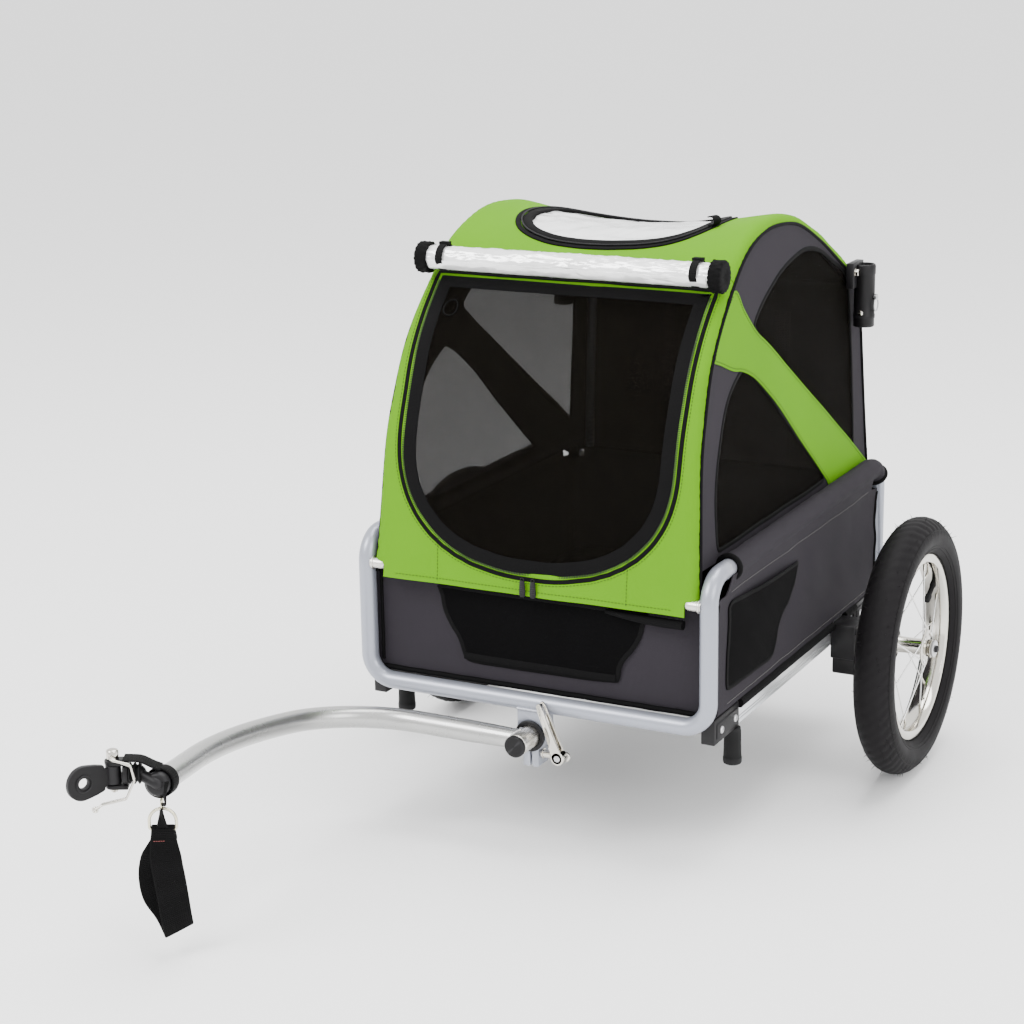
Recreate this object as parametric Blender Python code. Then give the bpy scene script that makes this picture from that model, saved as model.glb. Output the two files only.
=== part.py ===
"""Small two-wheeled bicycle trailer with a fabric cabin, towbar and axle hitch.

Axes: X across (the towbar reaches towards -X), the front faces -Y, Z up.
The wheels stand on z = 0, and the origin is below the middle of the whole object.
Metres throughout.
"""
import math

import bmesh
import bpy
from mathutils import Matrix, Vector

# ---- driving dimensions -------------------------------------------------------------
FRONT_Y = -0.03815         # place of the front frame's plane
FRAME_LENGTH = 0.5488      # front frame to rear frame
HALF_TRACK = 0.2114        # centreline of the frame's uprights
FLOOR_TUBE_Z = 0.172
RAIL_Z = 0.341
TUBE_R = 0.010
BEND_R = 0.030
FRAME_END = 0.045          # how far the frame's top ends reach along the rails
GAP = 0.0004               # clearance between touching pieces

WHEEL_X = 0.3062
WHEEL_Y = 0.4055
WHEEL_R = 0.1575
TYRE_SECTION_R = 0.0238
RIM_R = 0.1134
RIM_DEPTH = 0.0125
RIM_HALF_WIDTH = 0.0145
SPOKES = 16
WHEEL_SEGMENTS = 28
SPOKE_R = 0.0011
HUB_R = 0.0105
HUB_HALF_LENGTH = 0.0285
FLANGE_R = 0.022
FLANGE_OFFSET = 0.020
AXLE_R = 0.006

SIDE_X = 0.1978            # outer face of the cabin's side at the rail's height
SIDE_LEAN = 0.05           # inward lean of the sides per metre of height
CLOTH = 0.002
HOOP_R = 0.006
HOOP_CLEARANCE = 0.0010    # between a hoop and the cloth that wraps it
ROOF_SAG = 0.018
SAG_EDGE = 0.9             # the roof's cloth is taut outside this part of its half width
ROOF_SPOTS = (-1.0, -SAG_EDGE, -0.6, -0.25, 0.25, 0.6, SAG_EDGE, 1.0)

STUB_R = 0.0125
TOWBAR_R = 0.0127
CLAMP_Z = 0.1355
TOWBAR_Y = -0.0245
TOWBAR_RISE = 0.146        # rise of the towbar's plane per metre towards the front

# the cabin's side outline as (y, z): up the front, over the roof, down the back
CABIN_OUTLINE = [(-0.008, 0.298), (0.001, 0.367), (0.012, 0.455), (0.030, 0.512), (0.057, 0.568),
                 (0.104, 0.621), (0.165, 0.669), (0.235, 0.690), (0.326, 0.685), (0.400, 0.657),
                 (0.467, 0.622), (0.528, 0.586), (0.543, 0.560), (0.547, 0.513), (0.5490, 0.455),
                 (0.5515, 0.400), (0.5575, 0.312)]
SPLIT_FRONT = 5.42         # place along the outline where the front panel meets the roof
SPLIT_REAR = 11.5          # and where the roof meets the rear panel
CLOTH_START_T = 0.42       # the side's lower front corner, above the pegs
CLOTH_END_T = 15.82        # the lower edge at the back, above the pegs
CLOTH_FOOT_Z = 0.3195      # top of the notches round the front pegs

# ---- frame details ------------------------------------------------------------------
PEG_Z = 0.3115             # pegs that carry the cabin's hoops
PEG_R = 0.0065
PEG_END_X = 0.182          # the cloth's notches round the pegs reach in to here
HOOP_FOOT_Y = 0.0035       # from the nearer frame's plane
BLOCK_START = 0.0108       # ends of the moulded corner blocks, from the frame's plane
BLOCK_END = 0.082
RAIL_LOW_Z = 0.150         # underside of the bottom rails
FOOT_Y = 0.076
AXLE_TIP_X = 0.2185
AXLE_HEAD_X = WHEEL_X + HUB_HALF_LENGTH + 0.0008
HEAD_LENGTH = 0.0028
BUTTON_R = 0.0042

# ---- cabin details ------------------------------------------------------------------
DOOR_HALF_WIDTH = 0.168
DOOR_BOTTOM_Z = 0.320
DOOR_SPRING_Z = 0.460      # height where the straight sides turn into the rounded bottom
DOOR_TOP_Z = 0.629
DOOR_TOP_T = 5.16          # place of the door's top edge along the cabin's outline
HATCH_CENTRE_Y = 0.252
HATCH_HALF_LENGTH = 0.086
HATCH_HALF_WIDTH = 0.120
HATCH_HINGE_Z = 0.6760
TUB_X = 0.2146
TUB_Y = (0.0125, FRAME_LENGTH - 0.0125)
TUB_Z = (0.1845, 0.3274)
TUB_WALL = 0.0024
ZIP_X = (-0.0065, 0.0065)
ZIP_TOP_Z = 0.3205

# ---- handlebar sockets --------------------------------------------------------------
SOCKET_X = 0.2045
SOCKET_Y = 0.5035
SOCKET_Z = (0.526, 0.603)
SOCKET_R = 0.0128
SOCKET_WALL = 0.0024
PIN_Z = 0.563
PIN_R = 0.0022

# ---- tow clamp ----------------------------------------------------------------------
CLAMP_Y = (-0.0095, 0.0165)
CLAMP_R = 0.0190
BUSH_R = 0.0158
EAR_Y = -0.0015            # the clamping bolt's axis
EAR_Z = 0.1135
LEVER_X = 0.0395
LEVER_TIP = (0.0160, 0.1800)

# ---- hitch --------------------------------------------------------------------------
HITCH_TURN = Vector((-0.887, -0.4625, 0.0)).normalized()     # from the bar's end to the pin
PLATE_TURN = Vector((-0.403, -0.915, 0.0)).normalized()      # from the pin to the axle hole
PLATE_HALF_HEIGHT = 0.0175
PLATE_REACH = 0.035
PLATE_DROP = 0.0015
BALL_R = 0.0085
HITCH_PIN_R = 0.0035
RING_R = 0.0138
RING_WIRE_R = 0.0017
RING_BAR_DROP = 0.0088     # from the D ring's centre down to its straight bar
STRAP_WIDTHS = (0.0116, 0.0146)
STRAP_THICK = 0.0022
# The loop's centreline from the ring's bar: (down, sideways, towards the front), near side first.
STRAP_LINE = [(-0.0035, 0.0, 0.0), (-0.0024, 0.0, 0.0024), (0.0, 0.0, 0.0031), (0.0060, 0.0, 0.0023),
              (0.0120, 0.0, 0.0020), (0.0327, 0.0020, 0.0065), (0.0545, 0.0055, 0.0100),
              (0.0774, 0.0085, 0.0115), (0.0970, 0.0102, 0.0090), (0.1079, 0.0107, 0.0045),
              (0.1117, 0.0102, 0.0000), (0.1090, 0.0077, -0.0050), (0.0959, 0.0007, -0.0100),
              (0.0774, -0.0080, -0.0120), (0.0545, -0.0105, -0.0105), (0.0327, -0.0075, -0.0065),
              (0.0120, -0.0005, -0.0020), (0.0060, 0.0, -0.0023), (0.0, 0.0, -0.0031), (-0.0024, 0.0, -0.0024)]

SIDES = {"left": -1, "right": 1}


# ---- small tools --------------------------------------------------------------------
def clear_scene():
    for obj in list(bpy.data.objects):
        bpy.data.objects.remove(obj, do_unlink=True)


def make_material(name, colour, roughness, metallic=0.0):
    material = bpy.data.materials.new(name)
    material.use_nodes = True
    shader = material.node_tree.nodes["Principled BSDF"]
    shader.inputs["Base Color"].default_value = (*colour, 1.0)
    shader.inputs["Roughness"].default_value = roughness
    shader.inputs["Metallic"].default_value = metallic
    material.diffuse_color = (*colour, 1.0)
    return material


def place(x, y, z):
    """A point given from the front frame's plane, as a point of the whole model."""
    return Vector((x, y + FRONT_Y, z))


def add_object(name, mesh, material, origin=None, smooth=True):
    """Make an object of a mesh in model coordinates, with its origin at a given point."""
    obj = bpy.data.objects.new(name, mesh)
    bpy.context.scene.collection.objects.link(obj)
    if material is not None:
        mesh.materials.append(material)
    if smooth:
        mesh.shade_smooth()
        mesh.set_sharp_from_angle(angle=math.radians(35))
    if origin is not None:
        mesh.transform(Matrix.Translation(-origin))
        obj.location = origin
    return obj


def finish(bm, name):
    bmesh.ops.recalc_face_normals(bm, faces=bm.faces)
    mesh = bpy.data.meshes.new(name)
    bm.to_mesh(mesh)
    bm.free()
    return mesh


def skin_rings(bm, rings, closed=False):
    """Join rings of points into a skin; an open run of rings gets a cap at each end."""
    loops = [[bm.verts.new(point) for point in ring] for ring in rings]
    count = len(loops[0])
    pairs = list(zip(loops, loops[1:]))
    if closed:
        pairs.append((loops[-1], loops[0]))
    for low, high in pairs:
        for i in range(count):
            j = (i + 1) % count
            bm.faces.new((low[i], low[j], high[j], high[i]))
    if not closed:
        bm.faces.new(loops[0])
        bm.faces.new(loops[-1])


def rings_mesh(name, rings, closed=False):
    bm = bmesh.new()
    skin_rings(bm, rings, closed)
    return finish(bm, name)


def circle_ring(centre, along, radius, sides, guide=Vector((0.0, 0.0, 1.0))):
    """Points of a circle round an axis, starting in a steady direction."""
    along = along.normalized()
    if abs(along.dot(guide)) > 0.95:
        guide = Vector((0.0, 1.0, 0.0))
    across = along.cross(guide).normalized()
    upward = across.cross(along).normalized()
    turns = [2 * math.pi * (i + 0.5) / sides for i in range(sides)]
    return [centre + radius * (math.cos(t) * across + math.sin(t) * upward) for t in turns]


def carried_rings(path, radius, sides):
    """Rings square to a path, each turned from the last without twisting."""
    steps = [(b - a).normalized() for a, b in zip(path, path[1:])]
    tangents = [steps[0]] + [(a + b).normalized() for a, b in zip(steps, steps[1:])] + [steps[-1]]
    first = circle_ring(path[0], tangents[0], radius, sides)
    offsets = [point - path[0] for point in first]
    rings = [first]
    for previous, tangent, centre in zip(tangents, tangents[1:], path[1:]):
        turn = previous.rotation_difference(tangent)
        offsets = [turn @ offset for offset in offsets]
        rings.append([centre + offset for offset in offsets])
    return rings


def tube(name, path, radius, sides, material, origin=None):
    return add_object(name, rings_mesh(name, carried_rings(path, radius, sides)), material, origin)


def rounded_path(corners, radius, steps):
    """A path through corners, each rounded by an arc of the given radius."""
    path = [corners[0]]
    for before, corner, after in zip(corners, corners[1:], corners[2:]):
        back = (before - corner).normalized()
        ahead = (after - corner).normalized()
        half = back.angle(ahead) / 2
        reach = radius / math.tan(half)
        centre = corner + (back + ahead).normalized() * (radius / math.sin(half))
        start = corner + back * reach - centre
        end = corner + ahead * reach - centre
        sweep = start.rotation_difference(end)
        for i in range(steps + 1):
            part = Matrix.Rotation(sweep.angle * i / steps, 3, sweep.axis)
            path.append(centre + part @ start)
    path.append(corners[-1])
    return path


def solid_box(name, low, high, material, origin=None):
    bm = bmesh.new()
    centre = (low + high) / 2
    size = high - low
    bmesh.ops.create_cube(bm, size=1.0, matrix=Matrix.Translation(centre) @ Matrix.Diagonal((*size, 1.0)))
    return add_object(name, finish(bm, name), material, origin, smooth=False)


def rod(name, start, end, radius, sides, material, origin=None):
    rings = [circle_ring(point, end - start, radius, sides) for point in (start, end)]
    return add_object(name, rings_mesh(name, rings), material, origin)


def turned(name, start, along, profile, sides, material, origin=None):
    """A turned solid: profile is (distance along the axis, radius) pairs."""
    rings = [circle_ring(start + along * distance, along, radius, sides) for distance, radius in profile]
    return add_object(name, rings_mesh(name, rings), material, origin)


def turned_ring(name, centre, section, segments, material, origin=None):
    """A ring round the X axis: section is a closed loop of (x offset, radius)."""
    rings = []
    for i in range(segments):
        turn = 2 * math.pi * i / segments
        radial = Vector((0.0, math.cos(turn), math.sin(turn)))
        rings.append([centre + Vector((x, 0.0, 0.0)) + radial * r for x, r in section])
    return add_object(name, rings_mesh(name, rings, closed=True), material, origin)


def extruded(name, outline, direction, material, origin=None, smooth=True):
    """A plate: an outline of points pushed along a direction."""
    bm = bmesh.new()
    face = bm.faces.new([bm.verts.new(point) for point in outline])
    pushed = bmesh.ops.extrude_face_region(bm, geom=[face])
    verts = [item for item in pushed["geom"] if isinstance(item, bmesh.types.BMVert)]
    bmesh.ops.translate(bm, verts=verts, vec=direction)
    return add_object(name, finish(bm, name), material, origin, smooth)


def hide_tool(obj):
    obj.hide_render = True
    obj.display_type = "WIRE"


def combine(obj, tool, operation):
    modifier = obj.modifiers.new(f"{operation.lower()}_{tool.name}", "BOOLEAN")
    modifier.operation = operation
    modifier.solver = "EXACT"
    modifier.object = tool
    hide_tool(tool)


# ---- frame --------------------------------------------------------------------------
def mirrored_y(y, rear):
    return FRAME_LENGTH - y if rear else y


def end_frame(name, rear, material):
    """A bent tube: top end, down one upright, across below the floor, and up again."""
    plane = mirrored_y(0.0, rear)
    reach = mirrored_y(FRAME_END, rear)
    corners = [place(-HALF_TRACK, reach, RAIL_Z), place(-HALF_TRACK, plane, RAIL_Z),
               place(-HALF_TRACK, plane, FLOOR_TUBE_Z), place(HALF_TRACK, plane, FLOOR_TUBE_Z),
               place(HALF_TRACK, plane, RAIL_Z), place(HALF_TRACK, reach, RAIL_Z)]
    return tube(name, rounded_path(corners, BEND_R, 4), TUBE_R, 10, material)


def hoop_pegs(frame, name, rear):
    """Short pegs welded to the uprights, which carry the cabin's hoops."""
    y = mirrored_y(-0.002, rear)
    for side, sign in SIDES.items():
        outer = place(sign * (HALF_TRACK - 0.002), y, PEG_Z)
        inner = place(sign * (PEG_END_X + 0.003), y, PEG_Z)
        combine(frame, rod(f"{name}_{side}_tool", outer, inner, PEG_R, 10, None), "UNION")


def top_rail(side, sign, material):
    start = place(sign * HALF_TRACK, FRAME_END + GAP, RAIL_Z)
    end = place(sign * HALF_TRACK, FRAME_LENGTH - FRAME_END - GAP, RAIL_Z)
    return rod(f"top_rail_{side}", start, end, TUBE_R, 10, material)


def rail_sleeve(side, sign, material):
    """Fabric sleeve round the top rail."""
    bore = TUBE_R + 0.0005
    skin = 0.0132
    ends = (0.056, FRAME_LENGTH - 0.056)
    axis = Vector((0.0, 1.0, 0.0))
    rings = []
    for y, radius in ((ends[0], skin), (ends[1], skin), (ends[1], bore), (ends[0], bore)):
        rings.append(circle_ring(place(sign * HALF_TRACK, y, RAIL_Z), axis, radius, 12))
    return add_object(f"rail_sleeve_{side}", rings_mesh("sleeve", rings, closed=True), material)


def bottom_rail(side, sign, material):
    """L-section extrusion: an outer web, and a ledge that carries the floor board."""
    y_start = BLOCK_END + GAP
    length = FRAME_LENGTH - 2 * y_start
    section = [(0.2114, RAIL_LOW_Z), (0.2114, 0.182), (0.188, 0.182), (0.188, 0.1785),
               (0.2064, 0.1785), (0.2064, RAIL_LOW_Z)]
    outline = [place(sign * x, y_start, z) for x, z in section]
    return extruded(f"bottom_rail_{side}", outline, Vector((0.0, length, 0.0)), material, smooth=False)


def corner_block(side, sign, rear, material):
    """Moulded connector between an end frame and a bottom rail."""
    name = f"corner_block_{'rear' if rear else 'front'}_{side}"
    y_low, y_high = sorted((mirrored_y(BLOCK_START, rear), mirrored_y(BLOCK_END, rear)))
    x_low, x_high = sorted((sign * 0.1980, sign * 0.2142))
    block = solid_box(name, place(x_low, y_low, RAIL_LOW_Z), place(x_high, y_high, 0.1790), material)
    bevel = block.modifiers.new("edge", "BEVEL")
    bevel.width = 0.0025
    bevel.segments = 1
    return block


def front_foot(side, sign, material):
    top = place(sign * 0.2090, FOOT_Y, RAIL_LOW_Z - GAP)
    profile = [(0.0, 0.0095), (0.036, 0.0105), (0.0410, 0.0105), (0.0425, 0.0090)]
    return turned(f"front_foot_{side}", top, Vector((0.0, 0.0, -1.0)), profile, 14, material)


def axle_block(side, sign, material):
    """Receiver outside the bottom rail, with a bore for the wheel's axle."""
    x_in = 0.2114 + GAP
    outline = [(0.385, 0.178), (0.385, 0.1345), (0.3925, 0.1345), (0.3925, 0.1135), (0.4185, 0.1135),
               (0.4185, 0.1345), (0.426, 0.1345), (0.426, 0.178)]
    points = [place(sign * x_in, y, z) for y, z in outline]
    block = extruded(f"axle_block_{side}", points, Vector((sign * 0.031, 0.0, 0.0)), material, smooth=False)
    start = place(sign * 0.2165, WHEEL_Y, WHEEL_R)
    end = place(sign * 0.26, WHEEL_Y, WHEEL_R)
    combine(block, rod(f"axle_bore_{side}_tool", start, end, AXLE_R + 0.0005, 16, None), "DIFFERENCE")
    return block


# ---- wheels -------------------------------------------------------------------------
def wheel_centre(sign):
    return place(sign * WHEEL_X, WHEEL_Y, WHEEL_R)


def tyre(side, sign, material):
    """Hollow carcass, open towards the rim."""
    middle = WHEEL_R - TYRE_SECTION_R
    bead_x, bead_r = 0.0118, RIM_R - 0.0060
    outer = []
    for i in range(9):
        turn = math.radians(-42 + 264 * i / 8)
        outer.append((TYRE_SECTION_R * math.cos(turn), middle + TYRE_SECTION_R * math.sin(turn)))
    wall = 0.0042
    inner = []
    for i in range(5):
        turn = math.radians(206 - 232 * i / 4)
        reach = TYRE_SECTION_R - wall
        inner.append((reach * math.cos(turn), middle + reach * math.sin(turn)))
    section = ([(bead_x, bead_r)] + outer + [(-bead_x, bead_r), (-bead_x + 0.004, bead_r)]
               + inner + [(bead_x - 0.004, bead_r)])
    section[1] = (bead_x, RIM_R + 0.0006)
    section[9] = (-bead_x, RIM_R + 0.0006)
    return turned_ring(f"tyre_{side}", wheel_centre(sign), section, WHEEL_SEGMENTS, material, wheel_centre(sign))


def rim(side, sign, material):
    """Channel rim with raised edges that hold the tyre's beads."""
    w = RIM_HALF_WIDTH
    lip = 0.0023
    bed = RIM_R - 0.0064
    base = RIM_R - RIM_DEPTH
    section = [(w, RIM_R), (w, base + 0.004), (w - 0.006, base), (-w + 0.006, base), (-w, base + 0.004),
               (-w, RIM_R), (-w + lip, RIM_R), (-w + lip, bed), (w - lip, bed), (w - lip, RIM_R)]
    return turned_ring(f"rim_{side}", wheel_centre(sign), section, WHEEL_SEGMENTS, material, wheel_centre(sign))


def hub(side, sign, material):
    """Barrel with two flanges, and the spokes laced to them."""
    centre = wheel_centre(sign)
    along = Vector((1.0, 0.0, 0.0))
    half, flange, web = HUB_HALF_LENGTH, FLANGE_OFFSET, 0.0016
    bore = HUB_R - 0.0020
    profile = [(-half, bore), (-half, HUB_R), (-flange - web, HUB_R), (-flange - web, FLANGE_R),
               (-flange + web, FLANGE_R), (-flange + web, HUB_R), (flange - web, HUB_R),
               (flange - web, FLANGE_R), (flange + web, FLANGE_R), (flange + web, HUB_R),
               (half, HUB_R), (half, bore)]
    rings = [circle_ring(centre + along * x, along, r, 16) for x, r in profile]
    body = add_object(f"hub_{side}", rings_mesh("hub", rings, closed=True), material, centre)
    lace = bmesh.new()
    spoke_end = (RIM_R - RIM_DEPTH) * math.cos(math.pi / WHEEL_SEGMENTS) - 0.0012
    for i in range(SPOKES):
        outward = 1 if i % 2 else -1
        crossing = 1 if (i // 2) % 2 else -1
        at_rim = 2 * math.pi * i / SPOKES
        at_hub = at_rim + crossing * math.radians(62)
        start = centre + Vector((outward * flange, 0.0187 * math.cos(at_hub), 0.0187 * math.sin(at_hub)))
        end = centre + Vector((outward * 0.003, spoke_end * math.cos(at_rim), spoke_end * math.sin(at_rim)))
        skin_rings(lace, [circle_ring(point, end - start, SPOKE_R, 5) for point in (start, end)])
    spokes = add_object(f"spokes_{side}_tool", finish(lace, "spokes"), None, centre)
    combine(body, spokes, "UNION")
    body.modifiers[-1].use_self = True
    return body


def bearing_set(side, sign, material):
    """Two bearings on a spacer sleeve, pressed into the hub."""
    centre = wheel_centre(sign)
    along = Vector((1.0, 0.0, 0.0))
    bore, race, spacer = AXLE_R + 0.0004, HUB_R - 0.0024, AXLE_R + 0.0012
    half = HUB_HALF_LENGTH - 0.0015
    shoulder = half - 0.008
    profile = [(-half, bore), (-half, race), (-shoulder, race), (-shoulder, spacer), (shoulder, spacer),
               (shoulder, race), (half, race), (half, bore)]
    rings = [circle_ring(centre + along * x, along, r, 16) for x, r in profile]
    return add_object(f"bearing_set_{side}", rings_mesh("bearings", rings, closed=True), material, centre)


def axle(side, sign, material):
    """Shaft from the receiver to a thin head outside the hub, bored for its release button."""
    start = place(sign * AXLE_TIP_X, WHEEL_Y, WHEEL_R)
    along = Vector((sign * 1.0, 0.0, 0.0))
    shaft = AXLE_HEAD_X - AXLE_TIP_X
    profile = [(0.0, AXLE_R - 0.001), (0.0015, AXLE_R - 0.0001), (shaft, AXLE_R - 0.0001), (shaft, 0.0105),
               (shaft + HEAD_LENGTH - 0.0008, 0.0105), (shaft + HEAD_LENGTH, 0.0095),
               (shaft + HEAD_LENGTH, BUTTON_R + 0.0004), (shaft - 0.010, BUTTON_R + 0.0004)]
    return turned(f"axle_{side}", start, along, profile, 16, material, wheel_centre(sign))


def release_button(side, sign, material):
    base = AXLE_HEAD_X + HEAD_LENGTH - 0.0095
    start = place(sign * base, WHEEL_Y, WHEEL_R)
    along = Vector((sign * 1.0, 0.0, 0.0))
    profile = [(0.0005, BUTTON_R), (0.0122, BUTTON_R), (0.0130, BUTTON_R - 0.0008)]
    return turned(f"release_button_{side}", start, along, profile, 12, material, wheel_centre(sign))


# ---- cabin --------------------------------------------------------------------------
def outline_point(t):
    """Smooth cabin outline: t runs from 0 to the last point's number."""
    points = CABIN_OUTLINE
    i = min(int(t), len(points) - 2)
    u = t - i
    before = points[max(i - 1, 0)]
    start, end = points[i], points[i + 1]
    after = points[min(i + 2, len(points) - 1)]
    spot = []
    for p, a, b, n in zip(before, start, end, after):
        pull_a, pull_b = (b - p) / 2, (n - a) / 2
        spot.append(a * (2 * u**3 - 3 * u**2 + 1) + pull_a * (u**3 - 2 * u**2 + u)
                    + b * (3 * u**2 - 2 * u**3) + pull_b * (u**3 - u**2))
    return spot


def outline_normal(t):
    """Unit normal of the outline, out of the cabin."""
    y0, z0 = outline_point(max(t - 0.05, 0.0))
    y1, z1 = outline_point(min(t + 0.05, len(CABIN_OUTLINE) - 1.001))
    run = math.hypot(y1 - y0, z1 - z0)
    return -(z1 - z0) / run, (y1 - y0) / run


def side_x(z):
    """Outer face of the cabin's side at a height."""
    return SIDE_X - SIDE_LEAN * (z - RAIL_Z)


def sag(t, across):
    """How far the roof's cloth hangs below its hoops; across runs from -1 to 1."""
    if not SPLIT_FRONT < t < SPLIT_REAR:
        return 0.0
    along = (t - SPLIT_FRONT) / (SPLIT_REAR - SPLIT_FRONT)
    return ROOF_SAG * math.sin(math.pi * along) ** 0.7 * max(0.0, 1 - (across / SAG_EDGE) ** 2)


def steps_between(start, end, count):
    return [start + (end - start) * i / (count - 1) for i in range(count)]


def skin_point(t, across, depth):
    """A point on the cabin's skin, or a given depth below it."""
    y, z = outline_point(t)
    normal_y, normal_z = outline_normal(t)
    x = across * (side_x(z) - CLOTH - 0.003)
    return place(x, y - depth * normal_y, z - depth * normal_z - sag(t, across))


def cloth_panel(name, t_start, t_end, rows, spots, material, origin=None):
    """A wrapped panel of the cabin's skin, as a thin closed plate."""
    bm = bmesh.new()
    columns = len(spots)
    grids = []
    for depth in (0.0, CLOTH):
        grids.append([[bm.verts.new(skin_point(t, across, depth)) for across in spots]
                      for t in steps_between(t_start, t_end, rows)])
    outer, inner = grids
    for i in range(rows - 1):
        for j in range(columns - 1):
            for grid in grids:
                bm.faces.new((grid[i][j], grid[i][j + 1], grid[i + 1][j + 1], grid[i + 1][j]))
    rim_cells = [(0, j) for j in range(columns)] + [(i, columns - 1) for i in range(1, rows)]
    rim_cells += [(rows - 1, j) for j in range(columns - 2, -1, -1)] + [(i, 0) for i in range(rows - 2, 0, -1)]
    for (i, j), (k, m) in zip(rim_cells, rim_cells[1:] + rim_cells[:1]):
        bm.faces.new((outer[i][j], outer[k][m], inner[k][m], inner[i][j]))
    return add_object(name, finish(bm, name), material, origin)


def doorway_outline(shrink):
    """The U-shaped doorway seen from the front, as (x, z)."""
    half, low = DOOR_HALF_WIDTH - shrink, DOOR_BOTTOM_Z + shrink
    points = [(half, DOOR_TOP_Z - shrink)]
    for i in range(9):
        turn = math.pi * i / 8
        swell = abs(math.cos(turn)) ** 0.85 * math.copysign(1, math.cos(turn))
        points.append((half * swell, DOOR_SPRING_Z - (DOOR_SPRING_Z - low) * math.sin(turn) ** 0.85))
    points.append((-half, DOOR_TOP_Z - shrink))
    return points


def doorway_tool(name, shrink):
    points = [place(x, -0.08, z) for x, z in doorway_outline(shrink)]
    return extruded(name, points, Vector((0.0, 0.30, 0.0)), None)


def front_panel(material):
    panel = cloth_panel("front_panel", 0.0, SPLIT_FRONT - 0.01, 16, (-1, 1), material)
    combine(panel, doorway_tool("doorway_tool", 0.0), "DIFFERENCE")
    for side, sign in SIDES.items():
        x_low, x_high = sorted((sign * PEG_END_X, sign * 0.25))
        low, high = place(x_low, -0.05, 0.28), place(x_high, 0.03, CLOTH_FOOT_Z)
        notch = solid_box(f"peg_notch_{side}_tool", low, high, None)
        combine(panel, notch, "DIFFERENCE")
    return panel


def door_hinge_point():
    """Middle of the door's top edge, on its outer face."""
    y, _ = outline_point(DOOR_TOP_T)
    return place(0.0, y, DOOR_TOP_Z)


def front_door(material):
    """Mesh door that fills the doorway and hinges along its top edge."""
    door = cloth_panel("front_door", 0.0, SPLIT_FRONT - 0.01, 16, (-1, 1), material, door_hinge_point())
    combine(door, doorway_tool("door_tool", 0.0008), "INTERSECT")
    return door


def hatch_tool(name, shrink):
    points = []
    for i in range(16):
        turn = 2 * math.pi * (i + 0.5) / 16
        c, s = math.cos(turn), math.sin(turn)
        x = (HATCH_HALF_WIDTH - shrink) * math.copysign(abs(c) ** 0.7, c)
        y = HATCH_CENTRE_Y + (HATCH_HALF_LENGTH - shrink) * math.copysign(abs(s) ** 0.7, s)
        points.append(place(x, y, 0.60))
    return extruded(name, points, Vector((0.0, 0.0, 0.15)), None)


def roof_panel(material):
    panel = cloth_panel("roof_panel", SPLIT_FRONT + 0.01, SPLIT_REAR - 0.01, 21, ROOF_SPOTS, material)
    combine(panel, hatch_tool("hatchway_tool", 0.0), "DIFFERENCE")
    return panel


def hatch_hinge_point():
    return place(0.0, HATCH_CENTRE_Y + HATCH_HALF_LENGTH, HATCH_HINGE_Z)


def roof_hatch(material):
    hatch = cloth_panel("roof_hatch", SPLIT_FRONT + 0.01, SPLIT_REAR - 0.01, 21, ROOF_SPOTS, material,
                        hatch_hinge_point())
    combine(hatch, hatch_tool("hatch_tool", 0.0008), "INTERSECT")
    return hatch


def rear_panel(material):
    return cloth_panel("rear_panel", SPLIT_REAR + 0.01, CLOTH_END_T, 12, (-1, 1), material)


def side_panel(side, sign, material):
    """Flat cloth side between the hoops, leaning inwards."""
    outline = []
    for t in steps_between(CLOTH_START_T, CLOTH_END_T, 25):
        y, z = outline_point(t)
        outline.append(place(sign * side_x(z), y, z))
    return extruded(f"side_panel_{side}", outline, Vector((-sign * CLOTH, 0.0, 0.0)), material)


def canopy_hoop(side, sign, material):
    """Bent pole under the cabin's edge, from peg to peg."""
    depth = CLOTH + HOOP_CLEARANCE + HOOP_R
    inset = CLOTH + GAP + HOOP_R + 0.0004
    path = []
    for t in steps_between(0.45, len(CABIN_OUTLINE) - 1.45, 30):
        y, z = outline_point(t)
        normal_y, normal_z = outline_normal(t)
        z_in = z - depth * normal_z
        path.append(place(sign * (side_x(z_in) - inset), y - depth * normal_y, z_in))
    foot_z = PEG_Z + PEG_R + GAP
    front_end = place(path[0].x, HOOP_FOOT_Y, foot_z)
    rear_end = place(path[-1].x, mirrored_y(HOOP_FOOT_Y, True), foot_z)
    path = [front_end] + path + [rear_end]
    return tube(f"canopy_hoop_{side}", path, HOOP_R, 8, material)


def cover_roll(material):
    """Rain cover rolled up above the doorway, with thicker gathered ends."""
    start = place(-0.187, 0.0987, 0.6495)
    profile = [(0.0, 0.015), (0.002, 0.0178), (0.0125, 0.0178), (0.0145, 0.0148),
               (0.3595, 0.0148), (0.3615, 0.0178), (0.372, 0.0178), (0.374, 0.015)]
    return turned("cover_roll", start, Vector((1.0, 0.0, 0.0)), profile, 14, material)


# ---- tub and floor ------------------------------------------------------------------


def tub(material):
    """Sewn fabric walls between the rails, open above and below."""
    low_z, high_z = TUB_Z
    rings = []
    for x, y_inset, z in ((TUB_X, 0.0, high_z), (TUB_X, 0.0, low_z),
                          (TUB_X - TUB_WALL, TUB_WALL, low_z), (TUB_X - TUB_WALL, TUB_WALL, high_z)):
        low, high = TUB_Y[0] + y_inset, TUB_Y[1] - y_inset
        rings.append([place(-x, low, z), place(x, low, z), place(x, high, z), place(-x, high, z)])
    body = add_object("tub", rings_mesh("tub", rings, closed=True), material, smooth=False)
    for rear in (False, True):
        y_low, y_high = sorted((mirrored_y(-0.01, rear), mirrored_y(0.034, rear)))
        for side, sign in SIDES.items():
            x_low, x_high = sorted((sign * 0.1935, sign * 0.23))
            notch = solid_box(f"tub_notch_{side}_{'rear' if rear else 'front'}_tool",
                              place(x_low, y_low, CLOTH_FOOT_Z - 0.003), place(x_high, y_high, 0.34), None)
            combine(body, notch, "DIFFERENCE")
    return body


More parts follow.
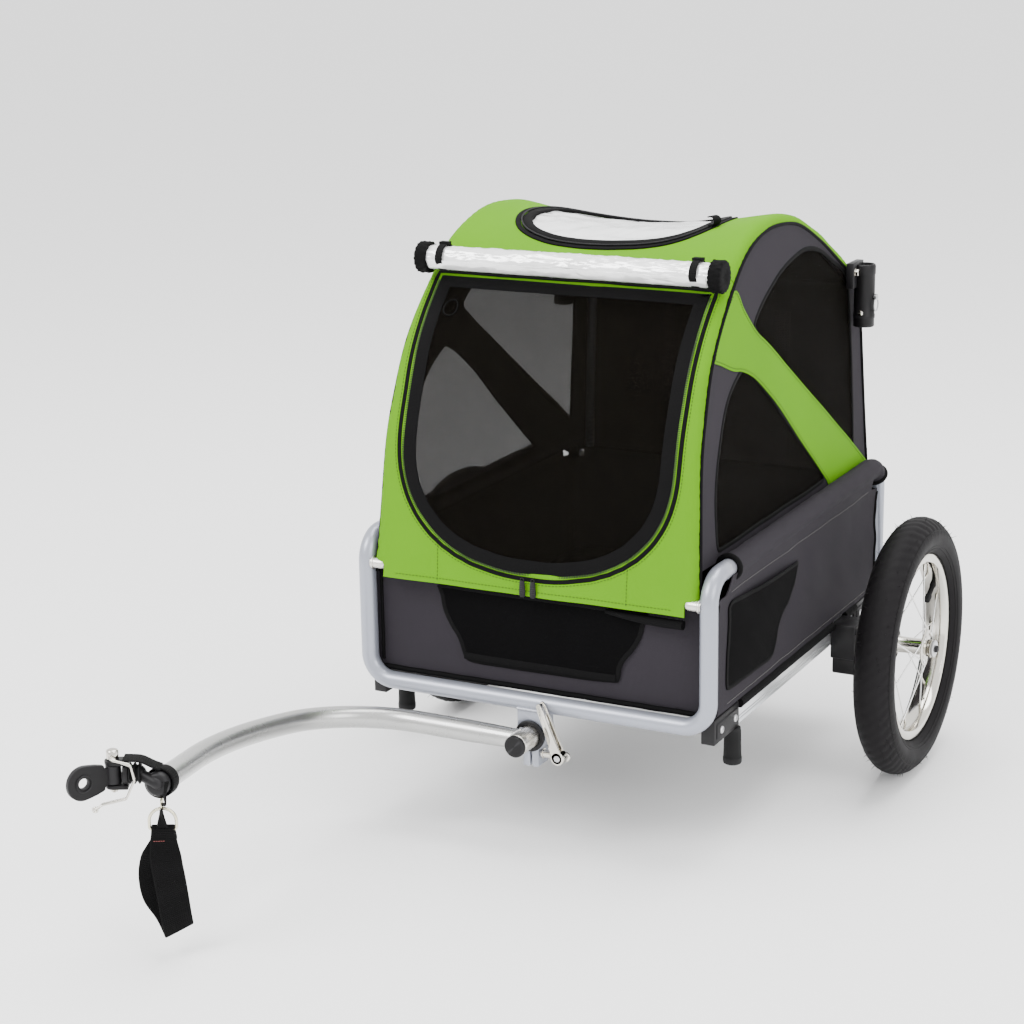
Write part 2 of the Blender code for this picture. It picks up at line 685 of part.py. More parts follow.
def floor_board(material):
    low = place(-0.2064, TUB_Y[0] + TUB_WALL + GAP, 0.1826)
    high = place(0.2064, TUB_Y[1] - TUB_WALL - GAP, 0.1862)
    return solid_box("floor_board", low, high, material)


def floor_mat(material):
    low = place(-0.184, 0.024, 0.1866)
    high = place(0.184, FRAME_LENGTH - 0.030, 0.2010)
    mat = solid_box("floor_mat", low, high, material)
    bevel = mat.modifiers.new("edge", "BEVEL")
    bevel.width = 0.004
    bevel.segments = 1
    return mat


# ---- handlebar sockets --------------------------------------------------------------


def handle_socket(side, sign, material):
    """Upright socket tube for a handlebar, with a plate against the cabin's side."""
    centre = place(sign * SOCKET_X, SOCKET_Y, 0.0)
    base = centre + Vector((0.0, 0.0, SOCKET_Z[0]))
    top = centre + Vector((0.0, 0.0, SOCKET_Z[1]))
    socket = rod(f"handle_socket_{side}", base, top, SOCKET_R, 16, material)
    face = sign * (side_x(SOCKET_Z[0]) + GAP)
    x_low, x_high = sorted((face, sign * (SOCKET_X - 0.008)))
    plate = solid_box(f"socket_plate_{side}_tool", place(x_low, SOCKET_Y - 0.024, 0.575),
                      place(x_high, SOCKET_Y + 0.012, 0.606), None)
    combine(socket, plate, "UNION")
    below = base - Vector((0.0, 0.0, 0.01))
    above = top + Vector((0.0, 0.0, 0.01))
    combine(socket, rod(f"socket_bore_{side}_tool", below, above, SOCKET_R - SOCKET_WALL, 16, None),
            "DIFFERENCE")
    through = Vector((sign * 0.05, 0.0, 0.0))
    pin_axis = centre + Vector((0.0, 0.0, PIN_Z))
    combine(socket, rod(f"pin_hole_{side}_tool", pin_axis, pin_axis + through, PIN_R + 0.0005, 10, None),
            "DIFFERENCE")
    return socket


def socket_pin(side, sign, material):
    """Locking pin through the socket's outer wall, with a pull ring."""
    along = Vector((sign * 1.0, 0.0, 0.0))
    start = place(sign * (SOCKET_X - 0.004), SOCKET_Y, PIN_Z)
    head = SOCKET_R + 0.004 + 0.0010
    profile = [(0.0, PIN_R - 0.0006), (0.001, PIN_R), (head, PIN_R), (head, 0.0038), (head + 0.003, 0.0038)]
    pin = turned(f"socket_pin_{side}", start, along, profile, 10, material, start)
    ring_centre = start + along * (head + 0.0015) - Vector((0.0, 0.0, 0.0095))
    rings = []
    for i in range(12):
        turn = 2 * math.pi * i / 12
        radial = Vector((0.0, math.cos(turn), math.sin(turn)))
        rings.append(circle_ring(ring_centre + radial * 0.0075, radial.cross(along), 0.0009, 5, along))
    combine(pin, add_object(f"pull_ring_{side}_tool", rings_mesh("ring", rings, closed=True), None), "UNION")
    return pin


# ---- tow clamp ----------------------------------------------------------------------


def tow_bracket(material):
    """Split collar under the front tube, with a saddle above and clamping ears below."""
    start = place(0.0, CLAMP_Y[0], CLAMP_Z)
    end = place(0.0, CLAMP_Y[1], CLAMP_Z)
    bracket = rod("tow_bracket", start, end, CLAMP_R, 20, material)
    saddle = solid_box("saddle_tool", place(-0.0165, CLAMP_Y[0] + 0.001, CLAMP_Z + 0.010),
                       place(0.0165, CLAMP_Y[1] - 0.001, FLOOR_TUBE_Z - 0.002), None)
    ears = solid_box("ears_tool", place(-0.0095, CLAMP_Y[0] + 0.001, 0.0985),
                     place(0.0095, 0.0060, CLAMP_Z - 0.014), None)
    combine(bracket, saddle, "UNION")
    combine(bracket, ears, "UNION")
    cut_start, cut_end = place(0.0, -0.03, CLAMP_Z), place(0.0, 0.04, CLAMP_Z)
    combine(bracket, rod("bush_seat_tool", cut_start, cut_end, BUSH_R + GAP, 20, None), "DIFFERENCE")
    tube_start, tube_end = place(-0.05, 0.0, FLOOR_TUBE_Z), place(0.05, 0.0, FLOOR_TUBE_Z)
    combine(bracket, rod("frame_seat_tool", tube_start, tube_end, TUBE_R + GAP, 20, None), "DIFFERENCE")
    slit = solid_box("slit_tool", place(-0.0014, -0.03, 0.09), place(0.0014, 0.04, CLAMP_Z), None)
    combine(bracket, slit, "DIFFERENCE")
    bolt_start, bolt_end = place(-0.03, EAR_Y, EAR_Z), place(0.03, EAR_Y, EAR_Z)
    combine(bracket, rod("bolt_hole_tool", bolt_start, bolt_end, 0.0034, 12, None), "DIFFERENCE")
    return bracket


def clamp_bush(material):
    """Plastic bush that grips the towbar's stub."""
    rings = []
    axis = Vector((0.0, 1.0, 0.0))
    for y, radius in ((CLAMP_Y[0] - 0.001, BUSH_R), (CLAMP_Y[1] + 0.001, BUSH_R),
                      (CLAMP_Y[1] + 0.001, STUB_R + 0.0005), (CLAMP_Y[0] - 0.001, STUB_R + 0.0005)):
        rings.append(circle_ring(place(0.0, y, CLAMP_Z), axis, radius, 20))
    return add_object("clamp_bush", rings_mesh("bush", rings, closed=True), material)


def clamp_bolt(material):
    """Bolt through the ears, with a nut at one end and an eye for the cam at the other."""
    start = place(-0.0145, EAR_Y, EAR_Z)
    profile = [(0.0, 0.0052), (0.0046, 0.0052), (0.0046, 0.0030), (0.0480, 0.0030), (0.0480, 0.0062),
               (0.0600, 0.0062)]
    return turned("clamp_bolt", start, Vector((1.0, 0.0, 0.0)), profile, 10, material)


def cam_lever(material):
    """Forked cam lever that turns on a cross pin in front of the bolt's end."""
    pivot = place(LEVER_X, 0.0, EAR_Z + 0.005)
    tip = place(LEVER_TIP[0], 0.0, LEVER_TIP[1])
    along = (tip - pivot).normalized()
    across = Vector((along.z, 0.0, -along.x))
    y_front, y_back = -0.0235, -0.0112
    barrel = rod("cam_lever", pivot + Vector((0.0, y_front, 0.0)), pivot + Vector((0.0, y_back, 0.0)), 0.0082,
                 14, material, pivot + Vector((0.0, (y_front + y_back) / 2, 0.0)))
    for number, y in enumerate((y_front, y_back - 0.0028)):
        outline = []
        for distance, half in ((0.0, 0.0055), (0.030, 0.0040), (0.058, 0.0036), (0.0655, 0.0020)):
            outline.append((distance, half))
        outline += [(distance, -half) for distance, half in reversed(outline)]
        points = [pivot + along * d + across * h + Vector((0.0, y, 0.0)) for d, h in outline]
        arm = extruded(f"lever_arm_{number}_tool", points, Vector((0.0, 0.0028, 0.0)), None)
        combine(barrel, arm, "UNION")
    bridge_low, bridge_high = pivot + along * 0.052, pivot + along * 0.064
    points = [spot + across * h + Vector((0.0, y_front + 0.0005, 0.0))
              for spot, h in ((bridge_low, 0.003), (bridge_high, 0.0022), (bridge_high, -0.0022), (bridge_low, -0.003))]
    bridge = extruded("lever_bridge_tool", points, Vector((0.0, y_back - y_front - 0.001, 0.0)), None)
    combine(barrel, bridge, "UNION")
    return barrel


# ---- towbar and hitch ---------------------------------------------------------------
def towbar_path():
    """The bar's centreline: sideways, round a tight bend, then forwards in a slack one."""
    spots = [(0.0, TOWBAR_Y), (-0.070, TOWBAR_Y)]
    x, y, heading = -0.135, TOWBAR_Y, 180.0
    for radius, sweep, pieces in ((0.115, 80.0, 10), (0.45, 26.0, 5)):
        centre_x = x + radius * math.cos(math.radians(heading + 90))
        centre_y = y + radius * math.sin(math.radians(heading + 90))
        for i in range(pieces + 1):
            turn = math.radians(heading - 90 + sweep * i / pieces)
            spot = (centre_x + radius * math.cos(turn), centre_y + radius * math.sin(turn))
            if spots[-1] != spot:
                spots.append(spot)
        x, y = spots[-1]
        heading += sweep
    end = math.radians(heading)
    spots.append((x + 0.098 * math.cos(end), y + 0.098 * math.sin(end)))
    path = []
    for x, y in spots:
        point = place(x, y, CLAMP_Z + TOWBAR_RISE * (TOWBAR_Y - y))
        if not path or (point - path[-1]).length > 0.002:
            path.append(point)
    return path


def towbar_axis():
    return place(0.0, TOWBAR_Y, CLAMP_Z)


def towbar(material):
    """Curved bar welded to a straight stub that the clamp grips."""
    bar = tube("towbar", towbar_path(), TOWBAR_R, 12, material, towbar_axis())
    stub_start = place(0.0, -0.0450, CLAMP_Z)
    stub_end = place(0.0, 0.0260, CLAMP_Z)
    combine(bar, rod("stub_tool", stub_start, stub_end, STUB_R, 20, None), "UNION")
    return bar


def stub_cap(material):
    start = place(0.0, -0.0450 - GAP, CLAMP_Z)
    profile = [(0.0, STUB_R), (0.0040, STUB_R), (0.0052, STUB_R - 0.0015)]
    return turned("stub_cap", start, Vector((0.0, -1.0, 0.0)), profile, 20, material, towbar_axis())


def bar_end():
    return towbar_path()[-1]


def flex_centre():
    """Centre of the flexible joint between the bar and the coupler."""
    return bar_end() + HITCH_TURN * 0.022 + Vector((0.0, 0.0, 0.010))


def pin_centre():
    return flex_centre() + HITCH_TURN * 0.025 + Vector((0.0, 0.0, 0.0045))


def bar_neck(material):
    """Neck on the bar's end, with a ball for the flexible joint."""
    end = bar_end()
    along = (towbar_path()[-1] - towbar_path()[-2]).normalized()
    start = end + along * GAP
    centre = flex_centre()
    neck = turned("bar_neck", start, along, [(0.0, TOWBAR_R), (0.010, TOWBAR_R), (0.0135, 0.0095)], 14, material,
                  towbar_axis())
    combine(neck, rod("neck_link_tool", start + along * 0.0068, centre, 0.0060, 10, None), "UNION")
    ball = bmesh.new()
    bmesh.ops.create_icosphere(ball, subdivisions=2, radius=BALL_R, matrix=Matrix.Translation(centre))
    combine(neck, add_object("neck_ball_tool", finish(ball, "ball"), None), "UNION")
    return neck


def coupler(material):
    """Fork that turns on the neck's ball and holds the hitch pin."""
    centre = flex_centre()
    pin = pin_centre()
    up = Vector((0.0, 0.0, 1.0))
    cup = turned("coupler", centre + HITCH_TURN * 0.0090, HITCH_TURN,
                 [(0.0, 0.0115), (0.0050, 0.0115), (0.0062, 0.0105)], 12, material, centre)
    for number, level in enumerate((0.0108, -0.0148)):
        outline = []
        across = Vector((-HITCH_TURN.y, HITCH_TURN.x, 0.0))
        outline.append(centre + HITCH_TURN * 0.0100 + across * 0.0085)
        outline.append(centre + HITCH_TURN * 0.0100 - across * 0.0085)
        for i in range(7):
            turn = math.pi * i / 6
            outline.append(Vector((pin.x, pin.y, centre.z)) - across * 0.0085 * math.cos(turn)
                           + HITCH_TURN * 0.0085 * math.sin(turn))
        points = [point + up * level for point in outline]
        combine(cup, extruded(f"fork_arm_{number}_tool", points, up * 0.0040, None), "UNION")
    bore = rod("fork_bore_tool", pin - up * 0.03, pin + up * 0.03, HITCH_PIN_R + 0.0005, 12, None)
    combine(cup, bore, "DIFFERENCE")
    return cup


def hitch_plate(material):
    """Plate that bolts on a bicycle's rear axle, with a boss for the hitch pin."""
    pin = pin_centre()
    centre_z = flex_centre().z
    up = Vector((0.0, 0.0, 1.0))
    thick = Vector((-PLATE_TURN.y, PLATE_TURN.x, 0.0))
    foot = Vector((pin.x, pin.y, centre_z))
    boss = rod("hitch_plate", foot - up * 0.0102, foot + up * 0.0102, 0.0080, 14, material, pin)
    neck = 0.0080
    outline = [(0.006, neck), (0.0125, neck), (0.017, 0.0140), (0.025, PLATE_HALF_HEIGHT),
               (PLATE_REACH, PLATE_HALF_HEIGHT)]
    for i in range(1, 8):
        turn = math.pi / 2 - math.pi * i / 8
        outline.append((PLATE_REACH + PLATE_HALF_HEIGHT * math.cos(turn), PLATE_HALF_HEIGHT * math.sin(turn)))
    outline += [(PLATE_REACH, -PLATE_HALF_HEIGHT), (0.025, -PLATE_HALF_HEIGHT), (0.017, -0.0140),
                (0.0125, -neck), (0.006, -neck)]
    drop = Vector((0.0, 0.0, PLATE_DROP))
    points = [foot + PLATE_TURN * d + up * h - drop - thick * 0.0025 for d, h in outline]
    combine(boss, extruded("plate_tool", points, thick * 0.005, None), "UNION")
    bore = rod("plate_bore_tool", foot - up * 0.03, foot + up * 0.03, HITCH_PIN_R + 0.0005, 12, None)
    combine(boss, bore, "DIFFERENCE")
    hole = foot + PLATE_TURN * PLATE_REACH - drop
    hole_tool = rod("axle_hole_tool", hole - thick * 0.02, hole + thick * 0.02, 0.0060, 14, None)
    combine(boss, hole_tool, "DIFFERENCE")
    return boss


def hitch_pin(material):
    pin = pin_centre()
    centre_z = flex_centre().z
    start = Vector((pin.x, pin.y, centre_z - 0.0200))
    profile = [(0.0, HITCH_PIN_R - 0.001), (0.001, HITCH_PIN_R), (0.0354, HITCH_PIN_R), (0.0354, 0.0062),
               (0.0445, 0.0062), (0.0460, 0.0050)]
    return turned("hitch_pin", start, Vector((0.0, 0.0, 1.0)), profile, 12, material, start)


def bail_hinge():
    """Cross axis near the top of the hitch pin, where the wire bail turns."""
    pin = pin_centre()
    return Vector((pin.x, pin.y, flex_centre().z + 0.0206))


def pin_bail(material):
    """Sprung wire that loops from the pin's head round the coupler and under it."""
    hinge = bail_hinge()
    back = -HITCH_TURN
    across = Vector((-HITCH_TURN.y, HITCH_TURN.x, 0.0))
    side = across * 0.0140
    up = Vector((0.0, 0.0, 1.0))
    corners = [hinge + across * 0.0072, hinge + side, hinge + side + back * 0.020 - up * 0.008,
               hinge + side + back * 0.026 - up * 0.022, hinge + side + back * 0.014 - up * 0.042,
               hinge + side - back * 0.010 - up * 0.047 + across * 0.0020,
               hinge + side - back * 0.0165 - up * 0.0520 + across * 0.0078]
    return tube("pin_bail", rounded_path(corners, 0.003, 2), 0.0012, 6, material, hinge)


def ring_centre():
    return bar_end() + Vector((-0.0050, 0.0060, -0.0456))


def ring_axes():
    """The ring's sideways and facing directions."""
    across = Vector((0.887, 0.4625, 0.0)).normalized()
    return across, across.cross(Vector((0.0, 0.0, 1.0)))


def strap_ring(material):
    """Zinc D ring that hangs below the bar's end and carries the safety strap on its straight side."""
    centre = ring_centre()
    across, facing = ring_axes()
    up = Vector((0.0, 0.0, 1.0))
    spots = []
    for i in range(11):
        turn = math.pi * i / 10
        spots.append((RING_R * math.cos(turn), RING_R * math.sin(turn)))
    low = RING_BAR_DROP
    spots += [(-RING_R, -low + 0.0022), (-RING_R + 0.0007, -low + 0.0006), (-RING_R + 0.0022, -low), (0.0, -low),
              (RING_R - 0.0022, -low), (RING_R - 0.0007, -low + 0.0006), (RING_R, -low + 0.0022)]
    path = [centre + across * x + up * z for x, z in spots]
    rings = []
    for i, spot in enumerate(path):
        along = (path[(i + 1) % len(path)] - path[i - 1]).normalized()
        rings.append(circle_ring(spot, along, RING_WIRE_R, 6, facing))
    return add_object("strap_ring", rings_mesh("ring", rings, closed=True), material, ring_hinge())


def ring_hinge():
    return ring_centre() + Vector((0.0, 0.0, RING_R))


def safety_strap(material):
    """Webbing loop sewn round the ring's straight bar; it twists a little on its way down."""
    bar = strap_hinge()
    across, facing = ring_axes()
    up = Vector((0.0, 0.0, 1.0))
    line = [bar - up * down + across * side + facing * front for down, side, front in STRAP_LINE]
    twisted = (across * 0.94 - facing * 0.34 + up * 0.373).normalized()
    rings = []
    for i, centre in enumerate(line):
        fall = max(0.0, STRAP_LINE[i][0]) / 0.1117
        mix = fall * fall * (3.0 - 2.0 * fall)
        width = (across * (1.0 - mix) + twisted * mix).normalized()
        half = STRAP_WIDTHS[0] + (STRAP_WIDTHS[1] - STRAP_WIDTHS[0]) * min(1.0, fall * 2.5)
        along = line[(i + 1) % len(line)] - line[i - 1]
        outward = along.cross(width).normalized()
        ring_points = []
        for side, depth in ((-1, -0.5), (1, -0.5), (1, 0.5), (-1, 0.5)):
            ring_points.append(centre + width * side * half + outward * depth * STRAP_THICK)
        rings.append(ring_points)
    return add_object("safety_strap", rings_mesh("strap", rings, closed=True), material, strap_hinge())


def strap_hinge():
    return ring_centre() - Vector((0.0, 0.0, RING_BAR_DROP))


def zip_pull(number, material):
    """Slider tab that hangs in front of the panel below the doorway."""
    y, _ = outline_point(0.28)
    top = place(ZIP_X[number - 1], y - 0.0045, ZIP_TOP_Z)
    outline = [(-0.0026, 0.0), (0.0026, 0.0), (0.0036, -0.019), (0.0028, -0.0225), (-0.0028, -0.0225),
               (-0.0036, -0.019)]
    points = [top + Vector((x, 0.0, z)) for x, z in outline]
    return extruded(f"zip_pull_{number}", points, Vector((0.0, -0.0018, 0.0)), material, top, smooth=False)


# ---- assembly -----------------------------------------------------------------------
def build():
    clear_scene()
    silver = make_material("frame_silver", (0.56, 0.57, 0.60), 0.35, 0.6)
    alloy = make_material("alloy", (0.72, 0.72, 0.72), 0.3, 0.9)
    chrome = make_material("chrome", (0.85, 0.85, 0.86), 0.12, 1.0)
    steel = make_material("steel", (0.45, 0.45, 0.46), 0.3, 0.9)
    zinc = make_material("zinc", (0.75, 0.72, 0.55), 0.3, 0.9)
    rubber = make_material("tyre_rubber", (0.025, 0.025, 0.025), 0.8)
    plastic = make_material("black_plastic", (0.02, 0.02, 0.022), 0.5)
    green = make_material("green_fabric", (0.30, 0.62, 0.05), 0.85)
    grey = make_material("grey_fabric", (0.12, 0.11, 0.13), 0.85)
    mesh_cloth = make_material("black_mesh", (0.02, 0.02, 0.02), 0.8)
    vinyl = make_material("clear_vinyl", (0.75, 0.77, 0.78), 0.15)
    pocket = make_material("black_fabric", (0.02, 0.02, 0.022), 0.8)
    board = make_material("floor_board", (0.05, 0.05, 0.05), 0.7)
    webbing = make_material("webbing", (0.015, 0.015, 0.015), 0.8)

    for rear, name in ((False, "front_frame"), (True, "rear_frame")):
        hoop_pegs(end_frame(name, rear, silver), name, rear)
    for side, sign in SIDES.items():
        top_rail(side, sign, silver)
        rail_sleeve(side, sign, grey)
        bottom_rail(side, sign, alloy)
        corner_block(side, sign, False, plastic)
        corner_block(side, sign, True, plastic)
        front_foot(side, sign, plastic)
        axle_block(side, sign, plastic)
        tyre(side, sign, rubber)
        rim(side, sign, chrome)
        hub(side, sign, chrome)
        bearing_set(side, sign, steel)
        axle(side, sign, steel)
        release_button(side, sign, plastic)
        side_panel(side, sign, grey)
        canopy_hoop(side, sign, silver)
        handle_socket(side, sign, plastic)
        socket_pin(side, sign, steel)
    front_panel(green)
    front_door(mesh_cloth)
    roof_panel(green)
    roof_hatch(vinyl)
    rear_panel(grey)
    cover_roll(vinyl)
    tub(grey)
    floor_board(board)
    floor_mat(pocket)
    tow_bracket(silver)
    clamp_bush(plastic)
    clamp_bolt(steel)
    cam_lever(chrome)
    towbar(silver)
    stub_cap(plastic)
    bar_neck(steel)
    coupler(plastic)
    hitch_plate(plastic)
    hitch_pin(chrome)
    pin_bail(chrome)
    strap_ring(zinc)
    safety_strap(webbing)
    for number in (1, 2):
        zip_pull(number, plastic)


build()
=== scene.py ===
"""Looks of the small bicycle trailer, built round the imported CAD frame."""
import math
import random

import bmesh
import bpy
from mathutils import Matrix, Vector, noise
from mathutils.geometry import delaunay_2d_cdt


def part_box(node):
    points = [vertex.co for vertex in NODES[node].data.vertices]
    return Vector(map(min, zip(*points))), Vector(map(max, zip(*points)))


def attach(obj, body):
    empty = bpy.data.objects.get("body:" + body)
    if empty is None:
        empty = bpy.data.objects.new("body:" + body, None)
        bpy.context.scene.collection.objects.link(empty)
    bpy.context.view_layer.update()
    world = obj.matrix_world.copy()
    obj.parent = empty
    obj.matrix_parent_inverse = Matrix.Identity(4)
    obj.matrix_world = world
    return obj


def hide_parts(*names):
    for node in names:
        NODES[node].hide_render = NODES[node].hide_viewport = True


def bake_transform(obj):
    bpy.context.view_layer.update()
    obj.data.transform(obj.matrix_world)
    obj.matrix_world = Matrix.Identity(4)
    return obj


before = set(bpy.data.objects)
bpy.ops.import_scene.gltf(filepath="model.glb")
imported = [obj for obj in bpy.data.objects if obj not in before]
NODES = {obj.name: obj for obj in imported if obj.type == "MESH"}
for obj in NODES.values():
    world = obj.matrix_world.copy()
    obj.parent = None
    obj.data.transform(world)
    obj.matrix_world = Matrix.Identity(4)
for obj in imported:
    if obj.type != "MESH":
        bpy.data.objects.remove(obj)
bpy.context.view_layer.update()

# ---- dimensions shared with the CAD source, in metres -------------------------------
FRONT_Y = -0.03815
FRAME_LENGTH = 0.5488
HALF_TRACK = 0.2114
FLOOR_TUBE_Z = 0.172
RAIL_Z = 0.341
TUBE_R = 0.010
BEND_R = 0.030
FRAME_END = 0.045
PEG_Z = 0.3115
HOOP_R = 0.006
ROOF_SAG = 0.018
WHEEL_X, WHEEL_Y, WHEEL_R = 0.3062, 0.4055, 0.1575
TYRE_R = 0.0238
RIM_R = 0.1134
SPOKES = 16
CLAMP_Z = 0.1355
TOWBAR_Y = -0.0245
TOWBAR_R = 0.0127
TOWBAR_RISE = 0.146
STUB_R = 0.0125
CABIN_OUTLINE = [(-0.008, 0.298), (0.001, 0.367), (0.012, 0.455), (0.030, 0.512), (0.057, 0.568),
                 (0.104, 0.621), (0.165, 0.669), (0.235, 0.690), (0.326, 0.685), (0.400, 0.657),
                 (0.467, 0.622), (0.528, 0.586), (0.543, 0.560), (0.547, 0.513), (0.5490, 0.455),
                 (0.5515, 0.400), (0.5575, 0.312)]
SPLIT_FRONT, SPLIT_REAR, CLOTH_END = 5.42, 11.5, 15.82
EDGE_R = 0.0085            # the cloth's rounded edge over a hoop
DOOR_HALF, DOOR_LOW, DOOR_SPRING, DOOR_TOP = 0.168, 0.320, 0.460, 0.629
HATCH_Y, HATCH_LENGTH, HATCH_WIDTH = 0.252, 0.086, 0.120
SIDES = {"left": -1, "right": 1}
UP = Vector((0.0, 0.0, 1.0))
ALONG_X = Vector((1.0, 0.0, 0.0))
ALONG_Y = Vector((0.0, 1.0, 0.0))


def place(x, y, z):
    """A point given from the front frame's plane, as a point of the whole model."""
    return Vector((x, y + FRONT_Y, z))


# ---- materials ----------------------------------------------------------------------
def link(tree, start, end):
    tree.links.new(start, end)


def add_node(tree, kind, **values):
    node = tree.nodes.new(kind)
    for key, value in values.items():
        if key in node.inputs:
            node.inputs[key].default_value = value
        else:
            setattr(node, key, value)
    return node


def blend_colours(tree, factor, low, high):
    mix = add_node(tree, "ShaderNodeMix", data_type="RGBA")
    mix.inputs[6].default_value = (*low, 1.0)
    mix.inputs[7].default_value = (*high, 1.0)
    link(tree, factor, mix.inputs[0])
    return mix.outputs[2]


def scaled(tree, source, factor, offset=0.0):
    node = add_node(tree, "ShaderNodeMath", operation="MULTIPLY_ADD")
    link(tree, source, node.inputs[0])
    node.inputs[1].default_value = factor
    node.inputs[2].default_value = offset
    return node.outputs[0]


def joined(tree, operation, first, second):
    node = add_node(tree, "ShaderNodeMath", operation=operation)
    link(tree, first, node.inputs[0])
    link(tree, second, node.inputs[1])
    return node.outputs[0]


def bands(tree, coordinate, direction, period):
    wave = add_node(tree, "ShaderNodeTexWave", bands_direction=direction, Scale=0.314159 / period)
    link(tree, coordinate, wave.inputs["Vector"])
    return wave.outputs["Fac"]


def shade(colour, factor):
    return tuple(min(1.0, c * factor) for c in colour)


def material(name, colour, rough, metallic=0.0, mottle=(14.0, 0.08), grain=(700.0, 0.0001), weave=None,
             wear=None, alpha=None, stretch=None, crinkle=None, holes=None, **constants):
    """A procedural material.

    mottle is a slow colour change (scale, amount), grain a fine bump (scale, height), weave a
    cloth pattern on the texture coordinates (thread, contrast, height), wear a colour and
    strength on sharp edges, stretch pulls the grain along one axis, crinkle adds sharp folds
    (scale, height), and holes lets light through between threads (period, least, most).
    """
    made = bpy.data.materials.new(name)
    made.use_nodes = True
    tree = made.node_tree
    shader = tree.nodes["Principled BSDF"]
    shader.inputs["Metallic"].default_value = metallic
    for key, value in constants.items():
        shader.inputs[key.replace("_", " ")].default_value = value
    place_in = add_node(tree, "ShaderNodeTexCoord")
    mapping = add_node(tree, "ShaderNodeMapping")
    mapping.inputs["Scale"].default_value = stretch or (1.0, 1.0, 1.0)
    link(tree, place_in.outputs["Object"], mapping.inputs["Vector"])
    slow = add_node(tree, "ShaderNodeTexNoise", Scale=mottle[0], Detail=4.0)
    link(tree, mapping.outputs[0], slow.inputs["Vector"])
    fine = add_node(tree, "ShaderNodeTexNoise", Scale=grain[0], Detail=3.0)
    link(tree, mapping.outputs[0], fine.inputs["Vector"])
    base = blend_colours(tree, slow.outputs["Fac"], shade(colour, 1 - mottle[1]),
                         shade(colour, 1 + mottle[1]))
    rough_value = scaled(tree, slow.outputs["Fac"], 0.16, rough - 0.08)
    height = scaled(tree, fine.outputs["Fac"], grain[1])
    if weave:
        thread, contrast, tall = weave
        warp = bands(tree, place_in.outputs["UV"], "X", thread)
        weft = bands(tree, place_in.outputs["UV"], "Y", thread)
        cloth = joined(tree, "MULTIPLY", warp, weft)
        factor = scaled(tree, cloth, 2 * contrast, 1 - contrast)
        tint = add_node(tree, "ShaderNodeVectorMath", operation="SCALE")
        link(tree, base, tint.inputs[0])
        link(tree, factor, tint.inputs["Scale"])
        base = tint.outputs[0]
        height = joined(tree, "ADD", height, scaled(tree, cloth, tall))
    if crinkle:
        folds = add_node(tree, "ShaderNodeTexVoronoi", feature="DISTANCE_TO_EDGE", Scale=crinkle[0])
        link(tree, mapping.outputs[0], folds.inputs["Vector"])
        height = joined(tree, "ADD", height, scaled(tree, folds.outputs["Distance"], crinkle[1]))
    if wear:
        edge = add_node(tree, "ShaderNodeNewGeometry")
        ramp = add_node(tree, "ShaderNodeMapRange")
        ramp.inputs["From Min"].default_value = 0.52
        ramp.inputs["From Max"].default_value = 0.62
        ramp.inputs["To Max"].default_value = wear[1]
        link(tree, edge.outputs["Pointiness"], ramp.inputs["Value"])
        mix = add_node(tree, "ShaderNodeMix", data_type="RGBA")
        link(tree, ramp.outputs[0], mix.inputs[0])
        link(tree, base, mix.inputs[6])
        mix.inputs[7].default_value = (*wear[0], 1.0)
        base = mix.outputs[2]
    if holes:
        period, least, most = holes
        warp = bands(tree, place_in.outputs["UV"], "X", period)
        weft = bands(tree, place_in.outputs["UV"], "Y", period)
        threads = joined(tree, "MAXIMUM", warp, weft)
        link(tree, scaled(tree, threads, most - least, least), shader.inputs["Alpha"])
        height = joined(tree, "ADD", height, scaled(tree, threads, 0.0002))
    elif alpha is not None:
        shader.inputs["Alpha"].default_value = alpha
    bump = add_node(tree, "ShaderNodeBump", Distance=1.0, Strength=1.0)
    link(tree, height, bump.inputs["Height"])
    link(tree, base, shader.inputs["Base Color"])
    link(tree, rough_value, shader.inputs["Roughness"])
    link(tree, bump.outputs[0], shader.inputs["Normal"])
    return made


